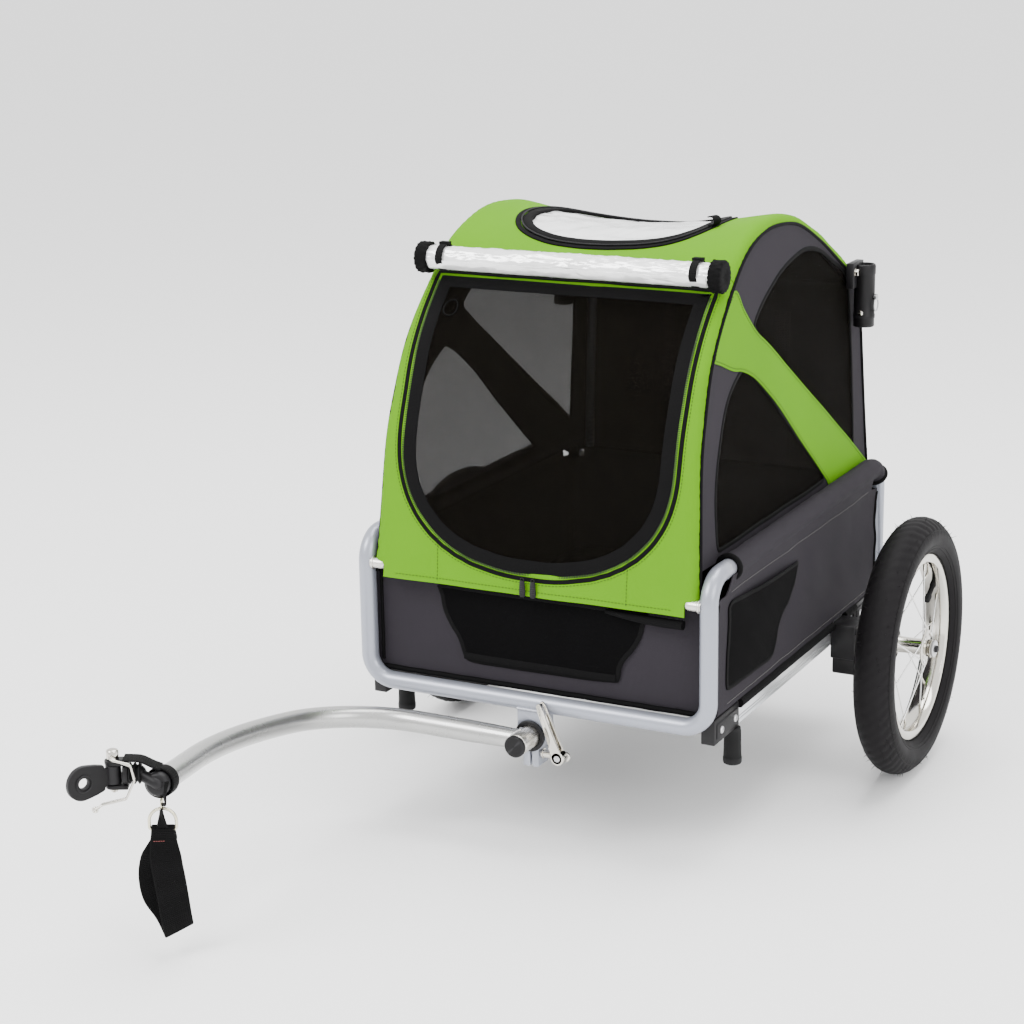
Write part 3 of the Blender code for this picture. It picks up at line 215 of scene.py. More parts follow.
BRIGHT = (0.85, 0.85, 0.86)
GREY_WEAR = (0.16, 0.16, 0.17)
M = {
    "frame": material("frame_paint", (0.29, 0.305, 0.355), 0.34, 0.5, (30, 0.05), (2200, 0.00006),
                      wear=(BRIGHT, 0.3), Coat_Weight=0.25, Coat_Roughness=0.25),
    "towbar": material("towbar_paint", (0.42, 0.42, 0.41), 0.27, 0.85, (24, 0.05), (2400, 0.00005),
                       wear=(BRIGHT, 0.3), Coat_Weight=0.2, Coat_Roughness=0.2),
    "bare": material("bare_alloy", (0.66, 0.64, 0.60), 0.28, 0.95, (60, 0.1), (600, 0.00008),
                     stretch=(8, 0.4, 8)),
    "rail": material("extruded_rail", (0.52, 0.54, 0.56), 0.34, 0.85, (20, 0.08), (500, 0.00005),
                     wear=(BRIGHT, 0.4), stretch=(8, 0.3, 8)),
    "chrome": material("chrome_plate", (0.62, 0.595, 0.54), 0.11, 1.0, (30, 0.04), (300, 0.00001)),
    "spoke": material("bright_spokes", (0.86, 0.86, 0.85), 0.22, 0.9, (30, 0.05), (900, 0.00002)),
    "steel": material("zinc_steel", (0.50, 0.50, 0.51), 0.32, 0.95, (50, 0.12), (900, 0.00004),
                      wear=(BRIGHT, 0.4)),
    "zinc": material("passivated_zinc", (0.70, 0.66, 0.50), 0.26, 0.95, (90, 0.15), (800, 0.00003)),
    "tyre": material("tyre_rubber", (0.0065, 0.0058, 0.0065), 0.62, 0.0, (40, 0.25), (900, 0.00012),
                     wear=((0.02, 0.02, 0.019), 0.3), Specular_IOR_Level=0.10),
    "rubber": material("moulded_rubber", (0.004, 0.004, 0.0042), 0.62, 0.0, (50, 0.2), (1200, 0.0001),
                       wear=(GREY_WEAR, 0.08), Specular_IOR_Level=0.15),
    "plastic": material("moulded_plastic", (0.0040, 0.0036, 0.0042), 0.44, 0.0, (60, 0.15), (1500, 0.00008),
                        wear=(GREY_WEAR, 0.08), Specular_IOR_Level=0.20),
    "green": material("green_canvas", (0.092, 0.265, 0.0004), 0.84, 0.0, (9, 0.10), (260, 0.0002),
                      weave=(0.0011, 0.10, 0.00016), Specular_IOR_Level=0.12),
    "grey": material("grey_canvas", (0.0235, 0.0205, 0.0255), 0.86, 0.0, (10, 0.14), (260, 0.0002),
                     weave=(0.0012, 0.30, 0.0002), Specular_IOR_Level=0.14),
    "black": material("black_canvas", (0.0012, 0.0011, 0.0013), 0.86, 0.0, (12, 0.2), (300, 0.0002),
                      weave=(0.0011, 0.25, 0.0002), Specular_IOR_Level=0.06),
    "tape": material("black_tape", (0.0016, 0.0015, 0.0017), 0.78, 0.0, (30, 0.2), (500, 0.0001),
                     weave=(0.0016, 0.3, 0.0002), Specular_IOR_Level=0.10),
    "webbing": material("black_webbing", (0.0020, 0.0019, 0.0021), 0.76, 0.0, (40, 0.2), (600, 0.0001),
                        weave=(0.0022, 0.45, 0.0005), Specular_IOR_Level=0.12),
    "mesh": material("black_mesh", (0.0034, 0.0027, 0.0018), 0.85, 0.0, (20, 0.15), (500, 0.0001),
                     holes=(0.0014, 0.16, 0.74), Specular_IOR_Level=0.04),
    "vinyl": material("clear_vinyl", (0.92, 0.93, 0.93), 0.14, 0.0, (40, 0.05), (300, 0.0001), alpha=0.82,
                      crinkle=(38, 0.003), Coat_Weight=0.8, Coat_Roughness=0.08),
    "roll": material("rolled_vinyl", (0.86, 0.86, 0.85), 0.18, 0.30, (55, 0.25), (300, 0.0002),
                     crinkle=(60, 0.003), Coat_Weight=0.8, Coat_Roughness=0.1, stretch=(0.35, 1, 1)),
    "board": material("floor_board", (0.010, 0.0095, 0.009), 0.7, 0.0, (20, 0.25), (900, 0.00015)),
    "thread": material("pale_thread", (0.12, 0.115, 0.11), 0.8),
    "dark_thread": material("dark_thread", (0.018, 0.035, 0.004), 0.8),
    "pink_thread": material("red_thread", (0.20, 0.05, 0.045), 0.8),
}


# ---- shapes -------------------------------------------------------------------------
def frames(path, loop=False, guide=UP):
    """Two directions square to a path at each of its points, carried along without twisting."""
    count = len(path)
    if loop:
        tangents = [(path[(i + 1) % count] - path[i - 1]).normalized() for i in range(count)]
    else:
        steps = [(b - a).normalized() for a, b in zip(path, path[1:])]
        tangents = [steps[0]] + [(a + b).normalized() for a, b in zip(steps, steps[1:])] + [steps[-1]]
    if abs(tangents[0].dot(guide)) > 0.95:
        guide = ALONG_Y
    across = tangents[0].cross(guide).normalized()
    result = [(across, across.cross(tangents[0]).normalized())]
    for before, tangent in zip(tangents, tangents[1:]):
        turn = before.rotation_difference(tangent)
        result.append((turn @ result[-1][0], turn @ result[-1][1]))
    return result


def circle(centre, first, second, radius, sides, flat=1.0):
    turns = [2 * math.pi * (i + 0.5) / sides for i in range(sides)]
    return [centre + first * (radius * math.cos(t)) + second * (radius * flat * math.sin(t)) for t in turns]


class Shape:
    """Collects the faces of one piece, with texture coordinates in metres."""

    def __init__(self):
        self.points, self.faces, self.slots, self.uvs = [], [], [], []

    def grid(self, rows, slot=0, wrap=False, loop=False, caps=False):
        """Faces over rows of points; wrap joins a row's ends, loop joins the last row to the first."""
        base, count = len(self.points), len(rows[0])
        for row in rows:
            self.points.extend(row)
        middle = rows[len(rows) // 2]
        across, along = [0.0], [0.0]
        for a, b in zip(middle, middle[1:] + middle[:1]):
            across.append(across[-1] + (b - a).length)
        for a, b in zip(rows, rows[1:] + rows[:1]):
            along.append(along[-1] + (b[0] - a[0]).length)
        for r in range(len(rows) - (not loop)):
            low, high = base + r * count, base + (r + 1) % len(rows) * count
            for c in range(count - (not wrap)):
                d = (c + 1) % count
                self.faces.append((low + c, low + d, high + d, high + c))
                self.uvs.append(((across[c], along[r]), (across[c + 1], along[r]),
                                 (across[c + 1], along[r + 1]), (across[c], along[r + 1])))
                self.slots.append(slot)
        if caps:
            for r in (0, len(rows) - 1):
                ids = [base + r * count + c for c in range(count)]
                self.faces.append(tuple(ids if r else reversed(ids)))
                self.uvs.append(tuple((0.01 * math.cos(c), 0.01 * math.sin(c)) for c in range(count)))
                self.slots.append(slot)
        return self

    def tube(self, path, radius, sides=20, slot=0, loop=False, flat=1.0, guide=UP):
        radii = radius if isinstance(radius, list) else [radius] * len(path)
        rows = [circle(p, a, b, r, sides, flat)
                for p, (a, b), r in zip(path, frames(path, loop, guide), radii)]
        return self.grid(rows, slot, wrap=True, loop=loop, caps=not loop)

    def lathe(self, origin, axis, profile, sides=40, slot=0, loop=False):
        """Turned about an axis: profile is (distance along the axis, radius) pairs."""
        first, second = frames([origin, origin + axis], guide=UP if abs(axis.z) < 0.9 else ALONG_Y)[0]
        rows = [circle(origin + axis * d, first, second, max(r, 0.00002), sides) for d, r in profile]
        return self.grid(rows, slot, wrap=True, loop=loop, caps=not loop)

    def ring(self, centre, axis, radius, wire, segments=40, sides=12, slot=0, flat=1.0):
        first, second = frames([centre, centre + axis], guide=UP if abs(axis.z) < 0.9 else ALONG_Y)[0]
        path = circle(centre, first, second, radius, segments)
        rows = [circle(p, (p - centre).normalized(), axis, wire, sides, flat) for p in path]
        return self.grid(rows, slot, wrap=True, loop=True)

    def ribbon(self, path, across, width, thick, slot=0, loop=False):
        """A flat strap along a path; across is its width's direction, or one direction for each point."""
        ways = across if isinstance(across, list) else [across] * len(path)
        rows = []
        for i, (p, way) in enumerate(zip(path, ways)):
            nearby = path[(i + 1) % len(path)] - path[i - 1] if loop or 0 < i < len(path) - 1 else (
                path[1] - path[0] if i == 0 else path[-1] - path[-2])
            way = way.normalized()
            out = nearby.cross(way).normalized()
            row = []
            for w, t in ((-1, -0.6), (-0.9, -1), (0.9, -1), (1, -0.6), (1, 0.6), (0.9, 1), (-0.9, 1),
                         (-1, 0.6)):
                row.append(p + way * (w * width / 2) + out * (t * thick / 2))
            rows.append(row)
        return self.grid(rows, slot, wrap=True, loop=loop, caps=not loop)

    def plate(self, outline, push, slot=0):
        return self.grid([list(outline), [p + push for p in outline]], slot, wrap=True, caps=True)

    def box(self, low, high, slot=0):
        corners = [Vector((low.x, low.y, low.z)), Vector((high.x, low.y, low.z)),
                   Vector((high.x, high.y, low.z)), Vector((low.x, high.y, low.z))]
        return self.plate(corners, Vector((0.0, 0.0, high.z - low.z)), slot)

    def ball(self, centre, radius, slot=0, rows=10, sides=20, flat=1.0):
        profile = []
        for i in range(rows + 1):
            turn = math.pi * i / rows
            profile.append((-radius * flat * math.cos(turn), radius * math.sin(turn)))
        return self.lathe(centre, UP, profile, sides, slot)

    def stitches(self, path, slot=0, pitch=0.0042, length=0.0028, wire=0.00035):
        """Short raised threads along a path."""
        spots = resample(path, pitch)
        for a, b in zip(spots, spots[1:]):
            step = (b - a).normalized() * length / 2
            middle = (a + b) / 2
            self.tube([middle - step, middle - step * 0.5, middle + step * 0.5, middle + step],
                      [wire * 0.4, wire, wire, wire * 0.4], 5, slot)
        return self

    def build(self, name, looks, body="chassis", stands_for=(), bevel=0.0, subdivide=0, solid=0.0, sharp=38):
        """Make the object, settle its modifiers, and put it on its body; "" leaves it loose."""
        mesh = bpy.data.meshes.new(name)
        mesh.from_pydata([tuple(p) for p in self.points], [], self.faces)
        layer = mesh.uv_layers.new(name="UVMap")
        flat = [uv for face in self.uvs for uv in face]
        for item, uv in zip(layer.data, flat):
            item.uv = uv
        mesh.polygons.foreach_set("material_index", self.slots)
        looks = looks.split()
        for look in looks:
            mesh.materials.append(M[look])
        obj = bpy.data.objects.new(name, mesh)
        bpy.context.scene.collection.objects.link(obj)
        bm = bmesh.new()
        bm.from_mesh(mesh)
        bmesh.ops.recalc_face_normals(bm, faces=bm.faces)
        bm.to_mesh(mesh)
        bm.free()
        if solid:
            modifier = obj.modifiers.new("cloth", "SOLIDIFY")
            modifier.thickness = solid
            modifier.offset = 0.0
        if bevel:
            modifier = obj.modifiers.new("edges", "BEVEL")
            modifier.width = bevel
            modifier.segments = 3
            modifier.angle_limit = math.radians(40)
            modifier.harden_normals = True
        if subdivide:
            modifier = obj.modifiers.new("smooth", "SUBSURF")
            modifier.levels = modifier.render_levels = subdivide
        settle(obj, sharp)
        if body:
            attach(obj, body)
        if stands_for:
            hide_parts(*([stands_for] if isinstance(stands_for, str) else stands_for))
        return obj


def settle(obj, sharp=38):
    """Turn an object's modifiers into its mesh, with sharp edges where faces meet steeply."""
    if obj.modifiers:
        graph = bpy.context.evaluated_depsgraph_get()
        done = bpy.data.meshes.new_from_object(obj.evaluated_get(graph))
        obj.modifiers.clear()
        obj.data = done
    obj.data.shade_smooth()
    obj.data.set_sharp_from_angle(angle=math.radians(sharp))


def resample(path, pitch, loop=False):
    """Evenly spaced points along a path."""
    points = path + path[:1] if loop else path
    lengths = [0.0]
    for a, b in zip(points, points[1:]):
        lengths.append(lengths[-1] + (b - a).length)
    count = max(2, round(lengths[-1] / pitch))
    result, k = [], 0
    for i in range(count if loop else count + 1):
        goal = lengths[-1] * i / count
        while k < len(points) - 2 and lengths[k + 1] < goal:
            k += 1
        part = (goal - lengths[k]) / max(lengths[k + 1] - lengths[k], 1e-9)
        result.append(points[k].lerp(points[k + 1], part))
    return result


def smooth_path(points, steps=8, loop=False):
    """Catmull-Rom curve through points."""
    points = [Vector(p) for p in points]
    count = len(points)
    result = []
    for i in range(count if loop else count - 1):
        before = points[i - 1] if loop or i else points[0]
        start, end = points[i], points[(i + 1) % count]
        after = points[(i + 2) % count] if loop or i + 2 < count else points[-1]
        for k in range(steps):
            u = k / steps
            result.append(0.5 * (2 * start + (end - before) * u
                                 + (2 * before - 5 * start + 4 * end - after) * u * u
                                 + (3 * start - before - 3 * end + after) * u**3))
    if not loop:
        result.append(points[-1])
    return result


def rounded_path(corners, radius, steps=8):
    path = [corners[0]]
    for before, corner, after in zip(corners, corners[1:], corners[2:]):
        back, ahead = (before - corner).normalized(), (after - corner).normalized()
        half = back.angle(ahead) / 2
        centre = corner + (back + ahead).normalized() * (radius / math.sin(half))
        start = corner + back * (radius / math.tan(half)) - centre
        end = corner + ahead * (radius / math.tan(half)) - centre
        sweep = start.rotation_difference(end)
        for i in range(steps + 1):
            path.append(centre + Matrix.Rotation(sweep.angle * i / steps, 3, sweep.axis) @ start)
    path.append(corners[-1])
    return path


# ---- cloth cut from flat outlines ---------------------------------------------------
def inside(point, outline):
    x, y = point[0], point[1]
    found = False
    for (x0, y0), (x1, y1) in zip(outline, outline[1:] + outline[:1]):
        if (y0 > y) != (y1 > y) and x < (x1 - x0) * (y - y0) / (y1 - y0) + x0:
            found = not found
    return found


def fill(outline, holes=(), spacing=0.008):
    """Flat triangles inside an outline and round its holes."""
    loops = [[tuple(p[:2]) for p in loop] for loop in (outline, *holes)]
    points, edges = [], []
    for loop in loops:
        base = len(points)
        points += [Vector(p) for p in loop]
        edges += [(base + i, base + (i + 1) % len(loop)) for i in range(len(loop))]
    border = list(points)
    xs, ys = [p[0] for p in loops[0]], [p[1] for p in loops[0]]
    row, y = 0, min(ys)
    while y < max(ys):
        x = min(xs) + (row % 2) * spacing / 2
        while x < max(xs):
            spot = Vector((x, y))
            if (inside(spot, loops[0]) and not any(inside(spot, hole) for hole in loops[1:])
                    and all((spot - p).length_squared > (0.55 * spacing) ** 2 for p in border)):
                points.append(spot)
            x += spacing
        y += spacing * 0.87
        row += 1
    verts, _, faces, _, _, _ = delaunay_2d_cdt(points, edges, [], 0, 1e-7)
    kept = []
    for face in faces:
        middle = sum((verts[i] for i in face), Vector((0.0, 0.0))) / len(face)
        if inside(middle, loops[0]) and not any(inside(middle, hole) for hole in loops[1:]):
            kept.append(tuple(face))
    return verts, kept


def cloth(name, look, outline, shape, stands_for=(), holes=(), spacing=0.008, thick=0.0012, body="chassis",
          held="stretched"):
    """A sheet cut from a flat outline and laid on the surface that shape(u, v) gives."""
    verts, faces = fill(outline, holes, spacing)
    sheet = Shape()
    sheet.points = [shape(v.x, v.y) for v in verts]
    sheet.faces = faces
    sheet.slots = [0] * len(faces)
    sheet.uvs = [tuple(tuple(verts[i]) for i in face) for face in faces]
    made = sheet.build(name, look, body, stands_for, solid=thick, sharp=60)
    xs, ys = [v.x for v in verts], [v.y for v in verts]
    area = 0.0
    for face in faces:
        first = verts[face[0]]
        for i, k in zip(face[1:], face[2:]):
            area += abs((verts[i] - first).cross(verts[k] - first)) / 2
    width, length = max(xs) - min(xs), max(ys) - min(ys)
    if area < 0.3 * width * length:
        width, length = turned_size(verts)
    return made


def turned_size(points):
    """Sides of the smallest turned rectangle round flat points."""
    best = None
    for i in range(90):
        c, s = math.cos(math.pi * i / 90), math.sin(math.pi * i / 90)
        us, vs = [p.x * c + p.y * s for p in points], [p.y * c - p.x * s for p in points]
        sides = (max(us) - min(us), max(vs) - min(vs))
        if best is None or sides[0] * sides[1] < best[0] * best[1]:
            best = sides
    return best


def offset_loop(loop, distance):
    """A closed flat loop moved sideways; a positive distance goes to the left of its direction."""
    result = []
    for i, point in enumerate(loop):
        step = loop[(i + 1) % len(loop)] - loop[i - 1]
        result.append(point + Vector((-step.y, step.x)).normalized() * distance)
    return result


def flat_loop(points, pitch=0.006):
    """Evenly spaced flat points round a closed loop, anticlockwise."""
    loop = resample([Vector(p) for p in points], pitch, loop=True)
    area = sum(a.x * b.y - b.x * a.y for a, b in zip(loop, loop[1:] + loop[:1]))
    return loop if area > 0 else loop[::-1]


def band(shape_of, loop, surface, section, slot=0):
    """A closed strip round a flat loop; section is (sideways, height) pairs round the strip."""
    rows = [[surface(p.x, p.y, h) for p in offset_loop(loop, d)] for d, h in section]
    return shape_of.grid(rows, slot, wrap=True, loop=True)


def tape_section(low, high, tall, base=0.0):
    """Rounded section of a sewn tape between two sideways distances."""
    edge = (high - low) * 0.12
    return [(low, base), (low, base + tall * 0.6), (low + edge, base + tall), (high - edge, base + tall),
            (high, base + tall * 0.6), (high, base)]


# ---- the cabin's surface ------------------------------------------------------------
def outline_point(t):
    points = CABIN_OUTLINE
    i = min(int(t), len(points) - 2)
    u = t - i
    before, start, end, after = (points[max(i - 1, 0)], points[i], points[i + 1],
                                 points[min(i + 2, len(points) - 1)])
    spot = []
    for p, a, b, n in zip(before, start, end, after):
        pull_a, pull_b = (b - p) / 2, (n - a) / 2
        spot.append(a * (2 * u**3 - 3 * u**2 + 1) + pull_a * (u**3 - 2 * u**2 + u)
                    + b * (3 * u**2 - 2 * u**3) + pull_b * (u**3 - u**2))
    return Vector(spot)


STEPS = 1600
T_TABLE = [(len(CABIN_OUTLINE) - 1.001) * i / STEPS for i in range(STEPS + 1)]
SPOTS = [outline_point(t) for t in T_TABLE]
LENGTHS = [0.0]
for first_spot, next_spot in zip(SPOTS, SPOTS[1:]):
    LENGTHS.append(LENGTHS[-1] + (next_spot - first_spot).length)


def length_at(test):
    """Length along the outline where a test on (t, spot) first holds."""
    for t, spot, length in zip(T_TABLE, SPOTS, LENGTHS):
        if test(t, spot):
            return length
    return LENGTHS[-1]


def at_length(length):
    low, high = 0, STEPS
    while high - low > 1:
        middle = (low + high) // 2
        if LENGTHS[middle] <= length:
            low = middle
        else:
            high = middle
    part = (length - LENGTHS[low]) / (LENGTHS[high] - LENGTHS[low])
    spot = SPOTS[low].lerp(SPOTS[high], part)
    way = (SPOTS[min(high + 6, STEPS)] - SPOTS[max(low - 6, 0)]).normalized()
    return spot, Vector((-way.y, way.x))


S_FRONT = length_at(lambda t, p: t >= SPLIT_FRONT)
S_REAR = length_at(lambda t, p: t >= SPLIT_REAR)
S_END = length_at(lambda t, p: t >= CLOTH_END)


def front_length(z):
    return length_at(lambda t, p: p.y >= z)


def roof_length(y):
    return length_at(lambda t, p: p.x >= y)


def side_x(z):
    return 0.1978 - 0.05 * (z - RAIL_Z)


def ripple(u, v, scale, height, seed=0.0):
    """A soft crease pattern."""
    return height * noise.noise(Vector((u * scale, v * scale * 1.4, seed)))


def wrap(q, s, lift=0.0):
    """The cabin's skin: q is the distance across from the middle, s the length along the outline."""
    s = min(max(s, 0.0), LENGTHS[-1])
    spot, normal = at_length(s)
    sign = 1 if q >= 0 else -1
    edge = side_x(spot.y)
    flat = edge - EDGE_R
    turn = min(max(abs(q) - flat, 0.0) / EDGE_R, math.pi / 2)
    past = max(0.0, abs(q) - flat - EDGE_R * math.pi / 2)
    x = min(abs(q), flat) + (EDGE_R + lift) * math.sin(turn)
    depth = EDGE_R * (1 - math.cos(turn)) + past - lift * math.cos(turn)
    hang = 0.0
    if S_FRONT < s < S_REAR:
        part = (s - S_FRONT) / (S_REAR - S_FRONT)
        hang = ROOF_SAG * math.sin(math.pi * part) ** 0.7 * max(0.0, 1 - (abs(q) / edge / 0.93) ** 2) ** 1.15
    return place(sign * x, spot.x - depth * normal.x, spot.y - depth * normal.y - hang)


def edge_arc(s):
    """Distance across to the cloth's sewn edge on the cabin's side."""
    spot, _ = at_length(s)
    return side_x(spot.y) - EDGE_R + EDGE_R * math.pi / 2 + 0.002


def side_surface(sign, bulge=0.0):
    def surface(y, z, lift=0.0):
        puff = bulge * noise.noise(Vector((y * 14, z * 14, sign)))
        return place(sign * (side_x(z) - 0.0008 + lift + puff), y, z)
    return surface


# ---- frame --------------------------------------------------------------------------
def rear_y(y, rear):
    return FRAME_LENGTH - y if rear else y


def make_end_frame(rear):
    name = "rear_frame" if rear else "front_frame"
    plane, reach = rear_y(0.0, rear), rear_y(FRAME_END, rear)
    corners = [place(-HALF_TRACK, reach, RAIL_Z), place(-HALF_TRACK, plane, RAIL_Z),
               place(-HALF_TRACK, plane, FLOOR_TUBE_Z), place(HALF_TRACK, plane, FLOOR_TUBE_Z),
               place(HALF_TRACK, plane, RAIL_Z), place(HALF_TRACK, reach, RAIL_Z)]
    Shape().tube(rounded_path(corners, BEND_R, 12), TUBE_R, 36).build(f"{name}_tube", "frame",
                                                                      stands_for=name)
    y = rear_y(-0.002, rear)
    pegs = Shape()
    for sign in SIDES.values():
        root, axis = place(sign * 0.204, y, PEG_Z), Vector((-sign, 0.0, 0.0))
        pegs.lathe(root, axis, [(0.0, 0.0062), (0.0130, 0.0062), (0.0165, 0.0058), (0.0182, 0.0044),
                                (0.0188, 0.0022), (0.0189, 0.0)], 28)
        weld = root + axis * 0.0025
        pegs.ring(weld, axis, 0.0066, 0.0013, 40, 8)
    pegs.build(f"{name}_pegs", "bare")


for at_back in (False, True):
    make_end_frame(at_back)


def make_rail(side, sign):
    """Top rail, its fabric sleeve that runs on round the rear bend, and the bound ends."""
    Shape().tube([place(sign * HALF_TRACK, y, RAIL_Z)
                  for y in (FRAME_END + 0.0004, 0.27, FRAME_LENGTH - FRAME_END)],
                 TUBE_R, 32).build(f"rail_{side}", "frame", stands_for=f"top_rail_{side}")
    path = [place(sign * HALF_TRACK, 0.056 + 0.4628 * i / 60, RAIL_Z) for i in range(61)]
    for i in range(1, 9):
        turn = math.radians(52) * i / 8
        path.append(place(sign * HALF_TRACK, 0.5188 + BEND_R * math.sin(turn),
                          0.311 + BEND_R * math.cos(turn)))
    rows = []
    for i, (spot, (a, b)) in enumerate(zip(path, frames(path))):
        row = []
        for k in range(28):
            turn = 2 * math.pi * k / 28
            r = 0.0127 + 0.0007 * noise.noise(Vector((i * 0.35, 2.2 * math.cos(turn),
                                                      2.2 * math.sin(turn) + sign)))
            row.append(spot + a * (r * math.cos(turn)) + b * (r * math.sin(turn)))
        rows.append(row)
    sleeve = Shape().grid(rows, wrap=True).build(f"sleeve_{side}", "grey", stands_for=f"rail_sleeve_{side}",
                                                 solid=0.001, sharp=80)
    ends = Shape()
    for spot, axis in ((path[0], ALONG_Y), (path[-1], (path[-1] - path[-2]).normalized())):
        ends.ring(spot, axis, 0.0128, 0.0032, 40, 12)
        ends.ring(spot + axis * 0.0004, axis, 0.0110, 0.0016, 36, 8)
    ends.build(f"sleeve_binding_{side}", "tape")
    seam = [place(sign * (HALF_TRACK + 0.0132 * math.sin(0.6)), 0.066 + 0.45 * i / 90,
                  RAIL_Z - 0.0132 * math.cos(0.6))
            for i in range(91)]
    Shape().stitches(seam).build(f"sleeve_stitches_{side}", "thread")


def make_lower_frame(side, sign):
    """Bottom rail, corner blocks, front foot and axle receiver with their screws."""
    section = [(0.2114, 0.150), (0.2114, 0.182), (0.1880, 0.182), (0.1880, 0.1785), (0.2064, 0.1785),
               (0.2064, 0.150)]
    outline = [place(sign * x, 0.0824, z) for x, z in section]
    Shape().plate(outline, ALONG_Y * (FRAME_LENGTH - 0.1648)).build(f"extrusion_{side}", "rail", bevel=0.0006,
                                                                    stands_for=f"bottom_rail_{side}")
    groove = Shape()
    for z in (0.1555, 0.1590):
        groove.tube([place(sign * 0.2114, y, z) for y in (0.084, 0.27, FRAME_LENGTH - 0.084)], 0.0007, 8)
    groove.build(f"extrusion_beads_{side}", "rail")
    outward = ALONG_X * sign
    for rear in (False, True):
        end = "rear" if rear else "front"
        y_low, y_high = sorted((rear_y(0.0108, rear), rear_y(0.082, rear)))
        block = Shape()
        block.box(place(min(sign * 0.1980, sign * 0.2142), y_low, 0.150),
                  place(max(sign * 0.1980, sign * 0.2142), y_high, 0.179))
        block.box(place(min(sign * 0.2136, sign * 0.2158), y_low + 0.006, 0.1555),
                  place(max(sign * 0.2136, sign * 0.2158), y_high - 0.006, 0.1735))
        block.build(f"block_{end}_{side}", "plastic", bevel=0.0022, stands_for=f"corner_block_{end}_{side}")
        screws = Shape()
        for y in (y_low + 0.016, y_high - 0.016):
            screws.lathe(place(sign * 0.2156, y, 0.1645), outward,
                         [(0.0, 0.0042), (0.0012, 0.0042), (0.0019, 0.0036), (0.0021, 0.0020),
                          (0.0009, 0.0017),
                          (0.0009, 0.0)], 24)
        screws.build(f"block_screws_{end}_{side}", "steel")
    Shape().lathe(place(sign * 0.2090, 0.076, 0.1496), -UP,
                  [(0.0, 0.0090), (0.0040, 0.0095), (0.028, 0.0100), (0.0345, 0.0102), (0.0350, 0.0106),
                   (0.0400, 0.0106), (0.0418, 0.0100), (0.0425, 0.0088)], 40).build(
        f"foot_{side}", "rubber", stands_for=f"front_foot_{side}")
    x_in = 0.2118
    outline = [(0.385, 0.178), (0.385, 0.1345), (0.3925, 0.1345), (0.3925, 0.1135), (0.4185, 0.1135),
               (0.4185, 0.1345), (0.426, 0.1345), (0.426, 0.178)]
    body = Shape().plate([place(sign * x_in, y, z) for y, z in outline], outward * 0.031)
    body.build(f"receiver_{side}", "plastic", bevel=0.0018, stands_for=f"axle_block_{side}")
    ribs = Shape()
    for y in (0.3975, 0.4055, 0.4135):
        ribs.box(place(min(sign * x_in, sign * 0.2440), y - 0.0011, 0.1120),
                 place(max(sign * x_in, sign * 0.2440), y + 0.0011, 0.1360))
    for y in (0.3905, 0.4205):
        ribs.lathe(place(sign * 0.2422, y, 0.1705), outward,
                   [(0.0, 0.0046), (0.0022, 0.0046), (0.0030, 0.0034),
                                                             (0.0030, 0.0)], 20)
    ribs.ring(place(sign * 0.2428, WHEEL_Y, WHEEL_R), outward, 0.0092, 0.0020, 36, 10)
    ribs.build(f"receiver_ribs_{side}", "plastic", bevel=0.0004)


# ---- wheels -------------------------------------------------------------------------
def around_wheel(centre, turn, x, radius):
    return centre + Vector((x, radius * math.cos(turn), radius * math.sin(turn)))


